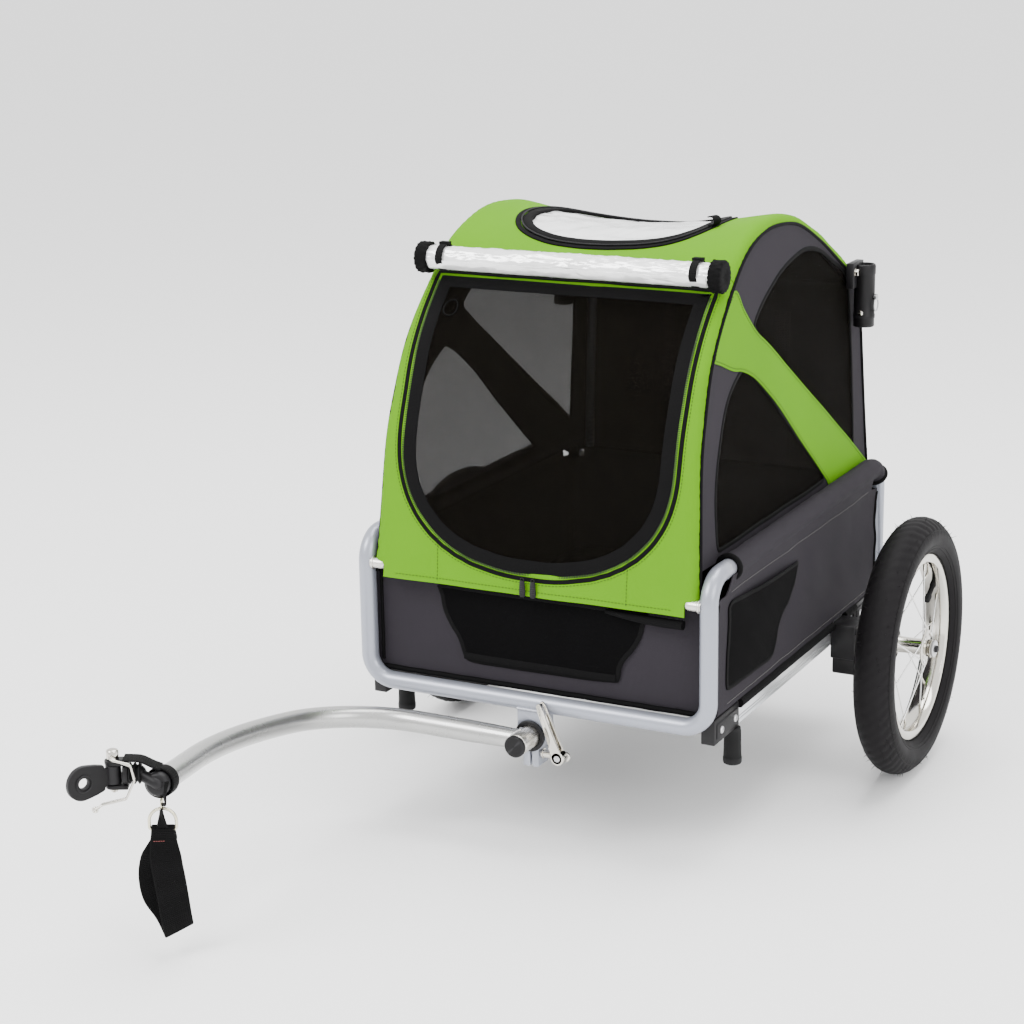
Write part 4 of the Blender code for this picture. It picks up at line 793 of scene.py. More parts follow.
def make_tyre(side, sign):
    centre = place(sign * WHEEL_X, WHEEL_Y, WHEEL_R)
    middle = WHEEL_R - TYRE_R
    tread_rows = 34
    rows = []
    segments = 320
    for i in range(segments):
        turn = 2 * math.pi * i / segments
        row = []
        for k in range(tread_rows + 1):
            angle = math.radians(-52 + 284 * k / tread_rows)
            off_crown = abs(math.degrees(angle) - 90)
            cut = 0.0
            if off_crown < 62:
                wave = math.sin(64 * turn + math.copysign(0.075, math.cos(angle)) * off_crown * 1.6)
                rib = math.sin(math.radians(off_crown * 11))
                cut = 0.0010 * (1 if wave > 0.35 else 0) + 0.0005 * (1 if rib > 0.75 else 0)
                cut *= 0.45 + 0.55 * off_crown / 62
            elif off_crown < 78:
                cut = 0.0006 * (1 if math.sin(128 * turn) > 0.2 else 0)
            radius = TYRE_R - 0.0001 - cut
            row.append(around_wheel(centre, turn, radius * math.cos(angle),
                                    middle + radius * math.sin(angle)))
        for x, r in ((-0.0116, RIM_R + 0.0012), (-0.0116, RIM_R - 0.0058), (0.0116, RIM_R - 0.0058),
                     (0.0116, RIM_R + 0.0012)):
            row.append(around_wheel(centre, turn, x, r))
        rows.append(row)
    tyre = Shape().grid(rows, wrap=True, loop=True)
    for x_side in (-1, 1):
        for radius, wire in ((RIM_R + 0.0075, 0.0007), (RIM_R + 0.0110, 0.0005), (WHEEL_R - 0.0145, 0.0005)):
            drop = math.asin(max(-1.0, min(1.0, (radius - middle) / TYRE_R)))
            tyre.ring(centre + ALONG_X * (x_side * (TYRE_R * math.cos(drop) - 0.0002)), ALONG_X, radius,
                      wire, 120, 6)
    tyre.build(f"tyre_cover_{side}", "tyre", f"wheel_{side}", f"tyre_{side}", sharp=30)
    draw = random.Random(11 + sign)
    hairs = Shape()
    for i in range(150):
        turn = 2 * math.pi * (i + draw.random() * 0.7) / 150
        angle = math.radians(90 + draw.choice((-1, 1)) * draw.uniform(18, 66))
        out = Vector((math.cos(angle), math.sin(angle) * math.cos(turn), math.sin(angle) * math.sin(turn)))
        root = around_wheel(centre, turn, TYRE_R * math.cos(angle),
                            middle + TYRE_R * math.sin(angle)) - out * 0.001
        bend = Vector((draw.uniform(-1, 1), draw.uniform(-1, 1), draw.uniform(-1, 1))) * 0.0018
        tip = root + out * draw.uniform(0.0035, 0.0065) + bend
        if tip.z > 0.0015:
            hairs.tube([root, (root + tip) / 2 - bend * 0.25, tip], [0.00045, 0.0003, 0.0001], 5)
    hairs.build(f"tyre_hairs_{side}", "tyre", f"wheel_{side}")


def make_rim(side, sign):
    centre = place(sign * WHEEL_X, WHEEL_Y, WHEEL_R)
    half, base = 0.0145, RIM_R - 0.0125
    section = [(half - 0.0023, RIM_R - 0.0063), (half - 0.0023, RIM_R - 0.0008),
               (half - 0.0018, RIM_R + 0.0003),
               (half - 0.0006, RIM_R + 0.0003), (half, RIM_R - 0.0008), (half, base + 0.0050),
               (half - 0.0016, base + 0.0024), (half - 0.0058, base + 0.0005), (half - 0.0090, base)]
    section = section + [(-x, r) for x, r in reversed(section)]
    rows = [[around_wheel(centre, 2 * math.pi * i / 144, x, r) for x, r in section] for i in range(144)]
    rim = Shape().grid(rows, wrap=True, loop=True)
    rim.build(f"rim_hoop_{side}", "chrome", f"wheel_{side}", f"rim_{side}", sharp=32)
    out = Vector((0.0, math.cos(0.55), math.sin(0.55)))
    stem = centre + out * (base + 0.001)
    Shape().lathe(stem, -out, [(0.0, 0.0040), (0.0030, 0.0038), (0.0060, 0.0031), (0.0190, 0.0030),
                               (0.0192, 0.0040),
                               (0.0275, 0.0040), (0.0285, 0.0032)], 24).build(f"valve_{side}", "rubber",
                                                                             f"wheel_{side}")


def make_hub(side, sign):
    """Barrel, drilled flanges, laced spokes with nipples, axle and its release button."""
    centre = place(sign * WHEEL_X, WHEEL_Y, WHEEL_R)
    barrel = Shape()
    profile = [(-0.0285, 0.0084), (-0.0285, 0.0100), (-0.0280, 0.0105), (-0.0226, 0.0106), (-0.0220, 0.0120),
               (-0.0214, 0.0206), (-0.0206, 0.0219), (-0.0194, 0.0219), (-0.0186, 0.0206), (-0.0180, 0.0122),
               (-0.0160, 0.0104), (-0.0080, 0.0098), (0.0080, 0.0098), (0.0160, 0.0104), (0.0180, 0.0122),
               (0.0186, 0.0206), (0.0194, 0.0219), (0.0206, 0.0219), (0.0214, 0.0206), (0.0220, 0.0120),
               (0.0226, 0.0106), (0.0280, 0.0105), (0.0285, 0.0100), (0.0285, 0.0084)]
    first, second = ALONG_Y, UP
    barrel.grid([circle(centre + ALONG_X * x, first, second, r, 48) for x, r in profile], wrap=True,
                loop=True)
    barrel.build(f"hub_shell_{side}", "chrome", f"wheel_{side}", f"hub_{side}", sharp=32)
    dark = Shape()
    for x_side in (-1, 1):
        for i in range(8):
            turn = 2 * math.pi * (i + 0.5) / 8
            spot = around_wheel(centre, turn, x_side * 0.02145, 0.0163)
            dark.ring(spot, ALONG_X, 0.0014, 0.0004, 14, 6)
            dark.lathe(spot - ALONG_X * 0.0002, ALONG_X, [(0.0, 0.0014), (0.0004, 0.0014)], 14)
        dark.ring(centre + ALONG_X * (x_side * 0.0284), ALONG_X, 0.0081, 0.0009, 32, 8)
    dark.build(f"hub_holes_{side}", "plastic", f"wheel_{side}")
    lace = Shape()
    ends = Shape()
    for i in range(SPOKES):
        outward = 1 if i % 2 else -1
        crossing = 1 if (i // 2) % 2 else -1
        at_rim = 2 * math.pi * i / SPOKES
        at_hub = at_rim + crossing * math.radians(62)
        root = around_wheel(centre, at_hub, outward * 0.0200, 0.0187)
        end = around_wheel(centre, at_rim, outward * 0.003, RIM_R - 0.0136)
        away = (end - root).normalized()
        head = root + ALONG_X * (outward * 0.0022)
        path = [head, root + ALONG_X * (outward * 0.0008) + away * 0.0006, root + away * 0.003, end]
        lace.tube(path, [0.00095, 0.0009, 0.0009, 0.0009], 10)
        lace.ball(head, 0.0017, rows=5, sides=10)
        ends.tube([end - away * 0.009, end - away * 0.008, end + away * 0.0010], [0.0012, 0.0016, 0.0017], 10)
    lace.build(f"spokes_{side}", "spoke", f"wheel_{side}")
    ends.build(f"spoke_nipples_{side}", "chrome", f"wheel_{side}")
    out = ALONG_X * sign
    face = WHEEL_X + 0.0285 + 0.0008
    shaft = face - 0.2185
    Shape().lathe(place(sign * 0.2185, WHEEL_Y, WHEEL_R), out,
                  [(0.0, 0.0046), (0.0012, 0.0058), (shaft, 0.0059), (shaft, 0.0104),
                   (shaft + 0.0018, 0.0104),
                   (shaft + 0.0027, 0.0094), (shaft + 0.0028, 0.0047), (shaft - 0.0105, 0.0046),
                   (shaft - 0.0105, 0.0)], 40).build(f"axle_shaft_{side}", "steel", stands_for=f"axle_{side}")
    base = face + 0.0028 - 0.0095
    Shape().lathe(place(sign * base, WHEEL_Y, WHEEL_R), out,
                  [(0.0005, 0.0042), (0.0118, 0.0042), (0.0126, 0.0038), (0.0130, 0.0030), (0.0131, 0.0018),
                   (0.0126, 0.0)], 32).build(f"button_cap_{side}", "plastic", f"button_{side}",
                                             f"release_button_{side}")
    NODES[f"bearing_set_{side}"].data.materials.clear()
    NODES[f"bearing_set_{side}"].data.materials.append(M["steel"])


for a_side, a_sign in SIDES.items():
    make_rail(a_side, a_sign)
    make_lower_frame(a_side, a_sign)
    make_tyre(a_side, a_sign)
    make_rim(a_side, a_sign)
    make_hub(a_side, a_sign)


# ---- cabin --------------------------------------------------------------------------
def doorway(shrink, pitch=0.006):
    """The doorway as flat (across, length along the outline) points."""
    half, low, top = DOOR_HALF - shrink, DOOR_LOW + shrink, DOOR_TOP - shrink
    points = [(half, top)]
    for i in range(49):
        turn = math.pi * i / 48
        swell = abs(math.cos(turn)) ** 0.85 * math.copysign(1, math.cos(turn))
        points.append((half * swell, DOOR_SPRING - (DOOR_SPRING - low) * math.sin(turn) ** 0.85))
    points.append((-half, top))
    return flat_loop([(x, front_length(z)) for x, z in points], pitch)


def hatchway(shrink, pitch=0.006):
    points = []
    for i in range(96):
        turn = 2 * math.pi * i / 96
        c, s = math.cos(turn), math.sin(turn)
        x = (HATCH_WIDTH - shrink) * math.copysign(abs(c) ** 0.7, c)
        y = HATCH_Y + (HATCH_LENGTH - shrink) * math.copysign(abs(s) ** 0.7, s)
        points.append((x, roof_length(y)))
    return flat_loop(points, pitch)


def strip_outline(s_low, s_high, notch=0.0, pitch=0.007):
    """Outline of a stretch of the cabin's skin, from one side's seam to the other's."""
    count = max(4, round((s_high - s_low) / pitch))
    lengths = [s_low + (s_high - s_low) * i / count for i in range(count + 1)]
    right = [(edge_arc(s) - (notch if s < front_length(0.3190) else 0.0), s) for s in lengths]
    left = [(-q, s) for q, s in reversed(right)]
    return flat_loop(right + left, pitch)


def skin(amount, scale=16.0, seed=0.0):
    def surface(q, s, lift=0.0):
        return wrap(q, s, lift + ripple(q, s, scale, amount, seed))
    return surface


def flap(q, s, lift=0.0):
    """The green front: loose and slightly wavy along its free lower edge."""
    loose = max(0.0, 1 - s / 0.05)
    wave = loose * (0.0022 * math.sin(q * 31 + 1.0) + 0.0016 * math.sin(q * 67))
    return wrap(q, s, lift + ripple(q, s, 15, 0.0012, 3.0) - 0.0006 + wave * 0.6)


GREEN_FRONT = flap
ROOF = skin(0.0016, 13.0, 7.0)
MESH_SKIN = skin(0.0010, 9.0, 5.0)

cloth("front_cover", "green", strip_outline(0.0006, S_FRONT - 0.0004, 0.021), GREEN_FRONT, "front_panel",
      holes=[doorway(0.0040)], spacing=0.0075)
cloth("roof_cover", "green", strip_outline(S_FRONT + 0.0004, S_REAR - 0.0004), ROOF, "roof_panel",
      holes=[hatchway(0.0)], spacing=0.0075)
cloth("rear_cover", "grey", strip_outline(S_REAR + 0.0004, S_END), skin(0.0014, 12.0, 9.0), "rear_panel",
      spacing=0.0085)

# black sheets just inside the rear and roof cloth: painted shade that darkens the cabin's inside where it is
# seen through the door and hatch
cloth("rear_shade_sheet", "black", strip_outline(S_REAR + 0.004, S_END - 0.004, 0.0),
      lambda q, s, lift=0.0: wrap(q * 0.985, s, -0.0035), spacing=0.014, thick=0.0006)
cloth("roof_shade_sheet", "black", strip_outline(S_FRONT + 0.004, S_REAR - 0.004),
      lambda q, s, lift=0.0: wrap(q * 0.985, s, -0.0042), holes=[hatchway(-0.004)], spacing=0.014,
      thick=0.0006)

door_edge = doorway(0.0)
tape = Shape()
band(tape, door_edge, GREEN_FRONT, [(d, h) for d, h in tape_section(-0.0056, -0.0006, 0.0013)])
tape.build("door_tape", "tape")
stitching = Shape()
stitching.stitches([GREEN_FRONT(p.x, p.y, 0.0009) for p in offset_loop(door_edge, -0.0078)])
for x in (-0.117, 0.117):
    stitching.stitches([GREEN_FRONT(x, s, 0.0009) for s in [0.004 + 0.05 * i / 30 for i in range(31)]])
stitching.stitches([GREEN_FRONT(-0.17 + 0.34 * i / 90, 0.0065, 0.0009) for i in range(91)])
stitching.build("front_stitches", "dark_thread")

door_loop = doorway(0.0008)
cloth("door_mesh", "mesh", doorway(0.010), MESH_SKIN, "front_door", spacing=0.009, thick=0.0006,
      body="front_door")
door_tape = Shape()
band(door_tape, door_loop, MESH_SKIN, tape_section(0.0022, 0.0175, 0.0012, 0.0002))
door_tape.build("door_border", "tape", "front_door")
teeth = Shape()
for spot_a, spot_b in zip(door_loop, door_loop[1:] + door_loop[:1]):
    if max(spot_a.y, spot_b.y) > front_length(DOOR_TOP - 0.0035):
        continue
    start_spot, end_spot = MESH_SKIN(spot_a.x, spot_a.y, 0.0006), MESH_SKIN(spot_b.x, spot_b.y, 0.0006)
    inward = (MESH_SKIN(0.0, S_FRONT * 0.55) - start_spot).normalized()
    for k in range(3):
        middle_spot = start_spot.lerp(end_spot, (k + 0.5) / 3)
        teeth.tube([middle_spot - inward * 0.0002, middle_spot + inward * 0.0022], 0.0006, 5)
teeth.build("door_zip", "plastic", "front_door")

hatch_loop = hatchway(0.0008)


def hatch_surface(q, s, lift=0.0):
    fold = (0.0022 * noise.noise(Vector((q * 26, s * 46, 2.0)))
            + 0.0012 * noise.noise(Vector((q * 70, s * 90, 4.0))))
    return wrap(q, s, lift + fold - 0.0008)


cloth("hatch_window", "vinyl", hatchway(0.006), hatch_surface, "roof_hatch", spacing=0.0055, thick=0.0006,
      body="roof_hatch")
rim_tape = Shape()
band(rim_tape, hatch_loop, ROOF, tape_section(0.0006, 0.0125, 0.0030, -0.0004))
band(rim_tape, hatch_loop, ROOF, [(d, -0.0014 - h) for d, h in tape_section(0.0006, 0.0125, 0.0026)][::-1])
rim_tape.build("hatch_border", "tape", "roof_hatch", sharp=50)
outer_tape = Shape()
band(outer_tape, hatchway(0.0), ROOF, tape_section(-0.0070, -0.0006, 0.0022))
outer_tape.build("hatch_tape", "tape", sharp=50)
zip_line = Shape()
for spot_a, spot_b in zip(hatch_loop, hatch_loop[1:] + hatch_loop[:1]):
    for k in range(3):
        middle_spot = ROOF(*spot_a.lerp(spot_b, (k + 0.5) / 3), 0.0030)
        zip_line.ball(middle_spot, 0.0011, rows=4, sides=6)
zip_line.build("hatch_zip", "plastic", "roof_hatch")

curl = []
for i in range(26):
    turn = math.radians(-20 + 230 * i / 25)
    curl.append(ROOF(HATCH_WIDTH + 0.001, roof_length(HATCH_Y - 0.030), 0.0034)
                + ALONG_X * (0.0055 * math.sin(turn)) + UP * (0.0050 * (1 - math.cos(turn))))
Shape().ribbon(curl, Vector((0.25, 1.0, 0.0)), 0.013, 0.0015).build("zip_end", "tape", sharp=50)
cloth("rear_seal", "black", flat_loop([(-0.1965, 0.5340), (0.1965, 0.5340), (0.1965, 0.5545),
                                       (-0.1965, 0.5545)], 0.008),
      lambda x, y: place(x, y, 0.3262), spacing=0.010, thick=0.0006)
for corner_sign in (-1, 1):
    cloth(f"corner_seal_{corner_sign + 1}", "black",
          flat_loop([(0.5060, 0.3130), (0.5375, 0.3130), (0.5375, 0.3470), (0.5060, 0.3470)], 0.008),
          lambda y, z: place(corner_sign * 0.2010, y, z), spacing=0.010, thick=0.0006)
inner_straps = Shape()
for x in (-0.070, 0.085):
    inner_straps.ribbon([place(x, 0.5380, 0.34 + 0.19 * i / 20) for i in range(21)], ALONG_X, 0.022, 0.0020)
inner_straps.build("rear_straps", "webbing", sharp=50)

# ---- cabin sides --------------------------------------------------------------------
LOW_WINDOW = [(0.143, 0.537), (0.113, 0.520), (0.090, 0.495), (0.070, 0.458), (0.060, 0.420), (0.057, 0.385),
              (0.059, 0.361), (0.064, 0.3565), (0.100, 0.3560), (0.200, 0.3560), (0.300, 0.3560),
              (0.385, 0.3560),
              (0.393, 0.3590), (0.389, 0.3660), (0.357, 0.3905), (0.313, 0.424), (0.268, 0.4600),
              (0.223, 0.496),
              (0.190, 0.5190), (0.165, 0.5340), (0.154, 0.5385)]
HIGH_WINDOW = [(0.355, 0.641), (0.310, 0.636), (0.267, 0.625), (0.225, 0.606), (0.193, 0.586), (0.190, 0.576),
               (0.212, 0.5600), (0.288, 0.509), (0.345, 0.468), (0.399, 0.429), (0.450, 0.397),
               (0.489, 0.3725),
               (0.498, 0.3740), (0.500, 0.385), (0.501, 0.450), (0.5005, 0.530), (0.496, 0.578),
               (0.478, 0.598),
               (0.448, 0.612), (0.400, 0.633)]
STRIPE = [(0.132, 0.6290), (0.158, 0.604), (0.195, 0.5720), (0.229, 0.552), (0.380, 0.455), (0.528, 0.358),
          (0.531, 0.3440), (0.415, 0.3440), (0.403, 0.354), (0.330, 0.4110), (0.253, 0.474), (0.190, 0.5180),
          (0.150, 0.5360), (0.123, 0.542), (0.090, 0.5540), (0.062, 0.567), (0.085, 0.5920)]


def side_outline(inset, low=0.336):
    """The side's flat outline: the cabin's outline moved in, closed along the rail."""
    points = []
    for i in range(150):
        spot, normal = at_length(front_length(low + 0.01) + (S_END - front_length(low + 0.01)) * i / 149)
        points.append((spot.x - normal.x * inset, max(spot.y - normal.y * inset, low)))
    return flat_loop(points, 0.008)


def smooth_flat(points, pitch=0.006):
    return flat_loop([Vector((p.x, p.y)) for p in smooth_path([(a, b, 0.0) for a, b in points], 6,
                                                              loop=True)], pitch)


def make_side(side, sign):
    surface = side_surface(sign, 0.0012)
    low, high = smooth_flat(LOW_WINDOW), smooth_flat(HIGH_WINDOW)
    outline = side_outline(EDGE_R + 0.0005)
    cloth(f"side_cover_{side}", "grey", outline, surface, f"side_panel_{side}", holes=[low, high],
          spacing=0.009)
    # a black sheet just inside the side cloth: painted shade that darkens the cabin's inside where it is seen
    # through the windows
    cloth(f"side_shade_sheet_{side}", "black", side_outline(EDGE_R + 0.010, 0.345),
          lambda y, z: surface(y, z, -0.0026),
          holes=[offset_loop(w, 0.001) for w in (low, high)], spacing=0.014, thick=0.0006)
    for number, window in (("low", low), ("high", high)):
        cloth(f"window_{number}_{side}", "mesh", offset_loop(window, -0.002), surface, holes=(),
              spacing=0.012,
              thick=0.0005)
        binding = Shape()
        band(binding, window, surface, tape_section(-0.0030, 0.0022, 0.0016, -0.0003))
        band(binding, window, surface, [(d, -h) for d, h in tape_section(-0.0030, 0.0022, 0.0016, -0.0003)])
        binding.build(f"window_binding_{number}_{side}", "tape", sharp=50)
    stripe = [p for p in smooth_flat(STRIPE, 0.006)]
    kept = flat_loop([p if inside(p, outline) else nearest(p, outline) for p in stripe], 0.006)
    cloth(f"side_stripe_{side}", "green", kept, lambda y, z, lift=0.0: surface(y, z, lift + 0.0012),
          spacing=0.009, thick=0.0008)
    sewing = Shape()
    sewing.stitches([surface(p.x, p.y, 0.0020) for p in offset_loop(kept, 0.0030)])
    sewing.build(f"stripe_stitches_{side}", "dark_thread")
    edge = []
    for i in range(140):
        spot, normal = at_length(0.004 + (S_END - 0.004) * i / 139)
        edge.append(place(sign * (side_x(spot.y) + 0.0002), spot.x - normal.x * (EDGE_R + 0.0015),
                          spot.y - normal.y * (EDGE_R + 0.0015)))
    Shape().tube(edge, 0.0021, 12).build(f"side_piping_{side}", "tape", sharp=60)
    hoop = []
    for i in range(80):
        spot, normal = at_length(front_length(0.3280) + (S_END - 0.004 - front_length(0.3280)) * i / 79)
        x = side_x(spot.y) - 0.0088
        hoop.append(place(sign * x, spot.x - normal.x * 0.0092, spot.y - normal.y * 0.0092))
    foot_z = PEG_Z + 0.0067
    hoop = [Vector((hoop[0].x, FRONT_Y + 0.0035, foot_z))] + hoop
    hoop += [Vector((hoop[-1].x, FRONT_Y + FRAME_LENGTH - 0.0035, foot_z))]
    Shape().tube(hoop, HOOP_R - 0.0002, 24).build(f"hoop_{side}", "frame", stands_for=f"canopy_hoop_{side}")
    plugs = Shape()
    for spot in (hoop[0], hoop[-1]):
        plugs.lathe(spot - UP * 0.0002, UP, [(0.0, 0.0066), (0.006, 0.0068), (0.0075, 0.0062)], 24)
    plugs.build(f"hoop_plugs_{side}", "plastic")


def nearest(point, loop):
    return min(loop, key=lambda p: (p - point).length_squared)


for a_side, a_sign in SIDES.items():
    make_side(a_side, a_sign)


# ---- rolled rain cover --------------------------------------------------------------
ROLL_Y, ROLL_Z = 0.0987, 0.6495


def make_roll():
    rows = []
    for i in range(171):
        x = -0.1735 + 0.347 * i / 170
        row = []
        for k in range(64):
            turn = 2 * math.pi * k / 64
            spot = Vector((x * 34, 3.0 * math.cos(turn), 3.0 * math.sin(turn)))
            fold = 1 - abs(noise.noise(spot * 1.3)) * 2
            r = 0.0137 + 0.0011 * noise.noise(spot) + 0.0010 * max(0.0, fold) ** 3
            if math.sin(turn) < -0.2:
                r = min(r, 0.0131)
            row.append(place(x, ROLL_Y + r * math.cos(turn), ROLL_Z + r * math.sin(turn)))
        rows.append(row)
    Shape().grid(rows, wrap=True, caps=True).build("roll_cover", "roll", stands_for="cover_roll", sharp=70)
    lip = Shape()
    lip.ribbon([place(-0.17 + 0.34 * i / 120, ROLL_Y - 0.0128
                      + 0.0012 * noise.noise(Vector((i * 0.25, 0, 0))),
                      ROLL_Z - 0.0050 + 0.0012 * noise.noise(Vector((i * 0.18, 5, 0)))) for i in range(121)],
               Vector((0.0, 0.45, -0.9)), 0.011, 0.0012)
    lip.build("roll_lip", "roll", sharp=60)
    ends = Shape()
    for sign in (-1, 1):
        rows = []
        for x, r in ((0.1722, 0.0146), (0.1724, 0.0172), (0.1745, 0.0178), (0.1790, 0.0172), (0.1835, 0.0178),
                     (0.1862, 0.0172), (0.1870, 0.0145), (0.1868, 0.0090), (0.1858, 0.0040), (0.1856, 0.0)):
            row = []
            for k in range(72):
                turn = 2 * math.pi * k / 72
                gather = 1 + 0.035 * math.sin(17 * turn + x * 400) + 0.02 * math.sin(29 * turn)
                row.append(place(sign * x, ROLL_Y + r * gather * math.cos(turn),
                                 ROLL_Z + r * gather * math.sin(turn)))
            rows.append(row)
        ends.grid(rows, wrap=True, caps=True)
    ends.build("roll_ends", "tape", sharp=60)
    straps = Shape()
    for sign in (-1, 1):
        path = []
        for k in range(48):
            turn = 2 * math.pi * k / 48
            r = 0.0164 - 0.0031 * min(1.0, max(0.0, -2.5 * math.sin(turn)))
            path.append(place(sign * 0.155, ROLL_Y + r * math.cos(turn), ROLL_Z + r * math.sin(turn)))
        straps.ribbon(path, ALONG_X, 0.009, 0.0014, loop=True)
        straps.box(place(sign * 0.155 - 0.006, ROLL_Y - 0.0030, ROLL_Z + 0.0158),
                   place(sign * 0.155 + 0.006, ROLL_Y + 0.0050, ROLL_Z + 0.0190))
    straps.build("roll_straps", "webbing", bevel=0.0003)
    s_top = front_length(0.5965)
    loop = [MESH_SKIN(-0.138 + 0.0085 * math.cos(2 * math.pi * k / 40),
                      s_top + 0.0105 * math.sin(2 * math.pi * k / 40),
                      0.0016 + 0.0006 * math.sin(4 * math.pi * k / 40)) for k in range(40)]
    Shape().tube(loop, 0.0010, 10, loop=True).build("elastic_loop", "tape", "front_door")


make_roll()

# ---- tub and floor ------------------------------------------------------------------
TUB_LOW = 0.1815


def front_wall(x, z, lift=0.0):
    crease = (0.0016 * noise.noise(Vector((x * 11, z * 15, 1.0)))
              + 0.0008 * noise.noise(Vector((x * 40, z * 26, 2.0))))
    return place(x, 0.0128 - lift - crease, z)


def side_wall(sign):
    def surface(y, z, lift=0.0):
        up = max(0.0, min(1.0, (z - 0.290) / 0.048))
        sway = math.sin(math.pi * min(1.0, max(0.0, (z - TUB_LOW) / 0.15)))
        fold = 0.0032 * noise.noise(Vector((y * 13, z * 9, 3.0 + sign))) + 0.0016 * noise.noise(
            Vector((y * 30 + z * 38, z * 12, 8.0)))
        x = 0.2138 + 0.0085 * up**1.6 + lift + fold * (0.35 + 0.65 * sway)
        return place(sign * max(x, 0.2128), y, z)
    return surface


def back_wall(x, z, lift=0.0):
    return place(x, FRAME_LENGTH - 0.0128 + lift + 0.0012 * noise.noise(Vector((x * 12, z * 15, 6.0))), z)


def rounded(points, pitch=0.006):
    return smooth_flat(points, pitch)


wall = flat_loop([(-0.2140, TUB_LOW), (0.2140, TUB_LOW), (0.2140, 0.3140), (0.1925, 0.3140), (0.1925, 0.3270),
                  (-0.1925, 0.3270), (-0.1925, 0.3140), (-0.2140, 0.3140)], 0.007)
cloth("tub_front", "grey", wall, front_wall, "tub", spacing=0.009)
cloth("tub_back", "grey", wall, back_wall, spacing=0.012)
floor_line = flat_loop([(-0.2125, 0.0135), (0.2125, 0.0135), (0.2125, 0.5355), (-0.2125, 0.5355)], 0.012)
cloth("tub_floor", "black", floor_line, lambda x, y: place(x, y, TUB_LOW + 0.0015), spacing=0.016,
      thick=0.0008)
POCKET = [(-0.122, 0.292), (-0.060, 0.2935), (0.000, 0.294), (0.070, 0.2935), (0.132, 0.292), (0.1315, 0.280),
          (0.1270, 0.262), (0.1180, 0.246), (0.1080, 0.234), (0.1030, 0.224), (0.1010, 0.2130),
          (0.0960, 0.2065),
          (0.040, 0.2040), (-0.040, 0.2035), (-0.0850, 0.2045), (-0.0930, 0.2110), (-0.0965, 0.2220),
          (-0.1010, 0.2330), (-0.1100, 0.2450), (-0.1180, 0.2610), (-0.1220, 0.2790)]


def pocket_front(x, z, lift=0.0):
    across, tall = abs(x - 0.005) / 0.118, (z - 0.205) / 0.085
    puff = (0.0065 * max(0.0, 1 - across**2)
            * max(0.0, math.sin(math.pi * min(1.0, max(0.0, tall * 0.8)))) ** 0.6)
    return front_wall(x, z, lift + 0.0014 + puff + 0.0010 * noise.noise(Vector((x * 22, z * 30, 4.0))))


pocket_loop = rounded(POCKET)
cloth("pocket_front", "black", pocket_loop, pocket_front, spacing=0.007)
hem = Shape()
band(hem, pocket_loop, pocket_front, tape_section(-0.0006, 0.0048, 0.0010))
hem.ribbon([pocket_front(-0.093 + 0.190 * i / 50, 0.2115, 0.0012) for i in range(51)], UP, 0.0080, 0.0010)
hem.build("pocket_hem_front", "tape", sharp=50)

SIDE_POCKET = [(0.047, 0.304), (0.046, 0.280), (0.044, 0.240), (0.0425, 0.215), (0.0440, 0.2055),
               (0.0530, 0.2030),
               (0.100, 0.2022), (0.150, 0.2012), (0.174, 0.2005), (0.1830, 0.2040), (0.1860, 0.2140),
               (0.1900, 0.2300), (0.2020, 0.2450), (0.2220, 0.2560), (0.2400, 0.2700), (0.2520, 0.2860),
               (0.2560, 0.2935), (0.2300, 0.2960), (0.150, 0.2995), (0.090, 0.3025)]


def make_tub_side(side, sign):
    surface = side_wall(sign)
    outline = flat_loop([(0.0125, TUB_LOW), (0.5363, TUB_LOW), (0.5363, 0.3140), (0.5130, 0.3160),
                         (0.5090, 0.3370),
                         (0.0400, 0.3370), (0.0350, 0.3160), (0.0125, 0.3140)], 0.008)
    cloth(f"tub_side_{side}", "grey", outline, surface, spacing=0.009)
    lining = flat_loop([(0.0150, 0.1770), (0.5340, 0.1770), (0.5340, 0.3130), (0.5080, 0.3160),
                        (0.5040, 0.3360),
                        (0.0440, 0.3360), (0.0400, 0.3160), (0.0150, 0.3130)], 0.012)
    cloth(f"tub_lining_{side}", "black", lining, lambda y, z: place(sign * 0.2095, y, z), spacing=0.020,
          thick=0.0006)

    def pocket(y, z, lift=0.0):
        across, tall = (y - 0.045) / 0.21, (z - 0.20) / 0.10
        puff = 0.006 * max(0.0, math.sin(math.pi * min(1.0, max(0.0, across)))) * max(
            0.0, math.sin(math.pi * min(1.0, max(0.0, tall * 0.75))))
        return surface(y, z, lift + 0.0014 + puff)

    loop = rounded(SIDE_POCKET)
    cloth(f"pocket_{side}", "black", loop, pocket, spacing=0.008)
    edge = Shape()
    band(edge, loop, pocket, tape_section(-0.0006, 0.0042, 0.0010))
    edge.build(f"pocket_hem_{side}", "tape", sharp=50)
    piping = Shape()
    for y_start, y_end in ((0.0835, 0.3835), (0.4275, FRAME_LENGTH - 0.0835)):
        path = [place(sign * (0.2142 + 0.0005 * noise.noise(Vector((i * 0.4, 0.0, sign)))),
                      y_start + (y_end - y_start) * i / 40, 0.1760) for i in range(41)]
        piping.tube(path, 0.0044, 14, flat=1.25, guide=UP)
    for y in (0.0135, FRAME_LENGTH - 0.0135):
        piping.tube([surface(y, 0.184 + 0.126 * i / 20, 0.0008) for i in range(21)], 0.0019, 10)
    piping.build(f"tub_piping_{side}", "tape")
    sewing = Shape()
    sewing.stitches([surface(0.045 + 0.455 * i / 120, 0.1880, 0.0009) for i in range(121)])
    sewing.stitches([surface(0.045 + 0.455 * i / 120, 0.3170, 0.0009) for i in range(121)])
    sewing.build(f"tub_stitches_{side}", "thread")


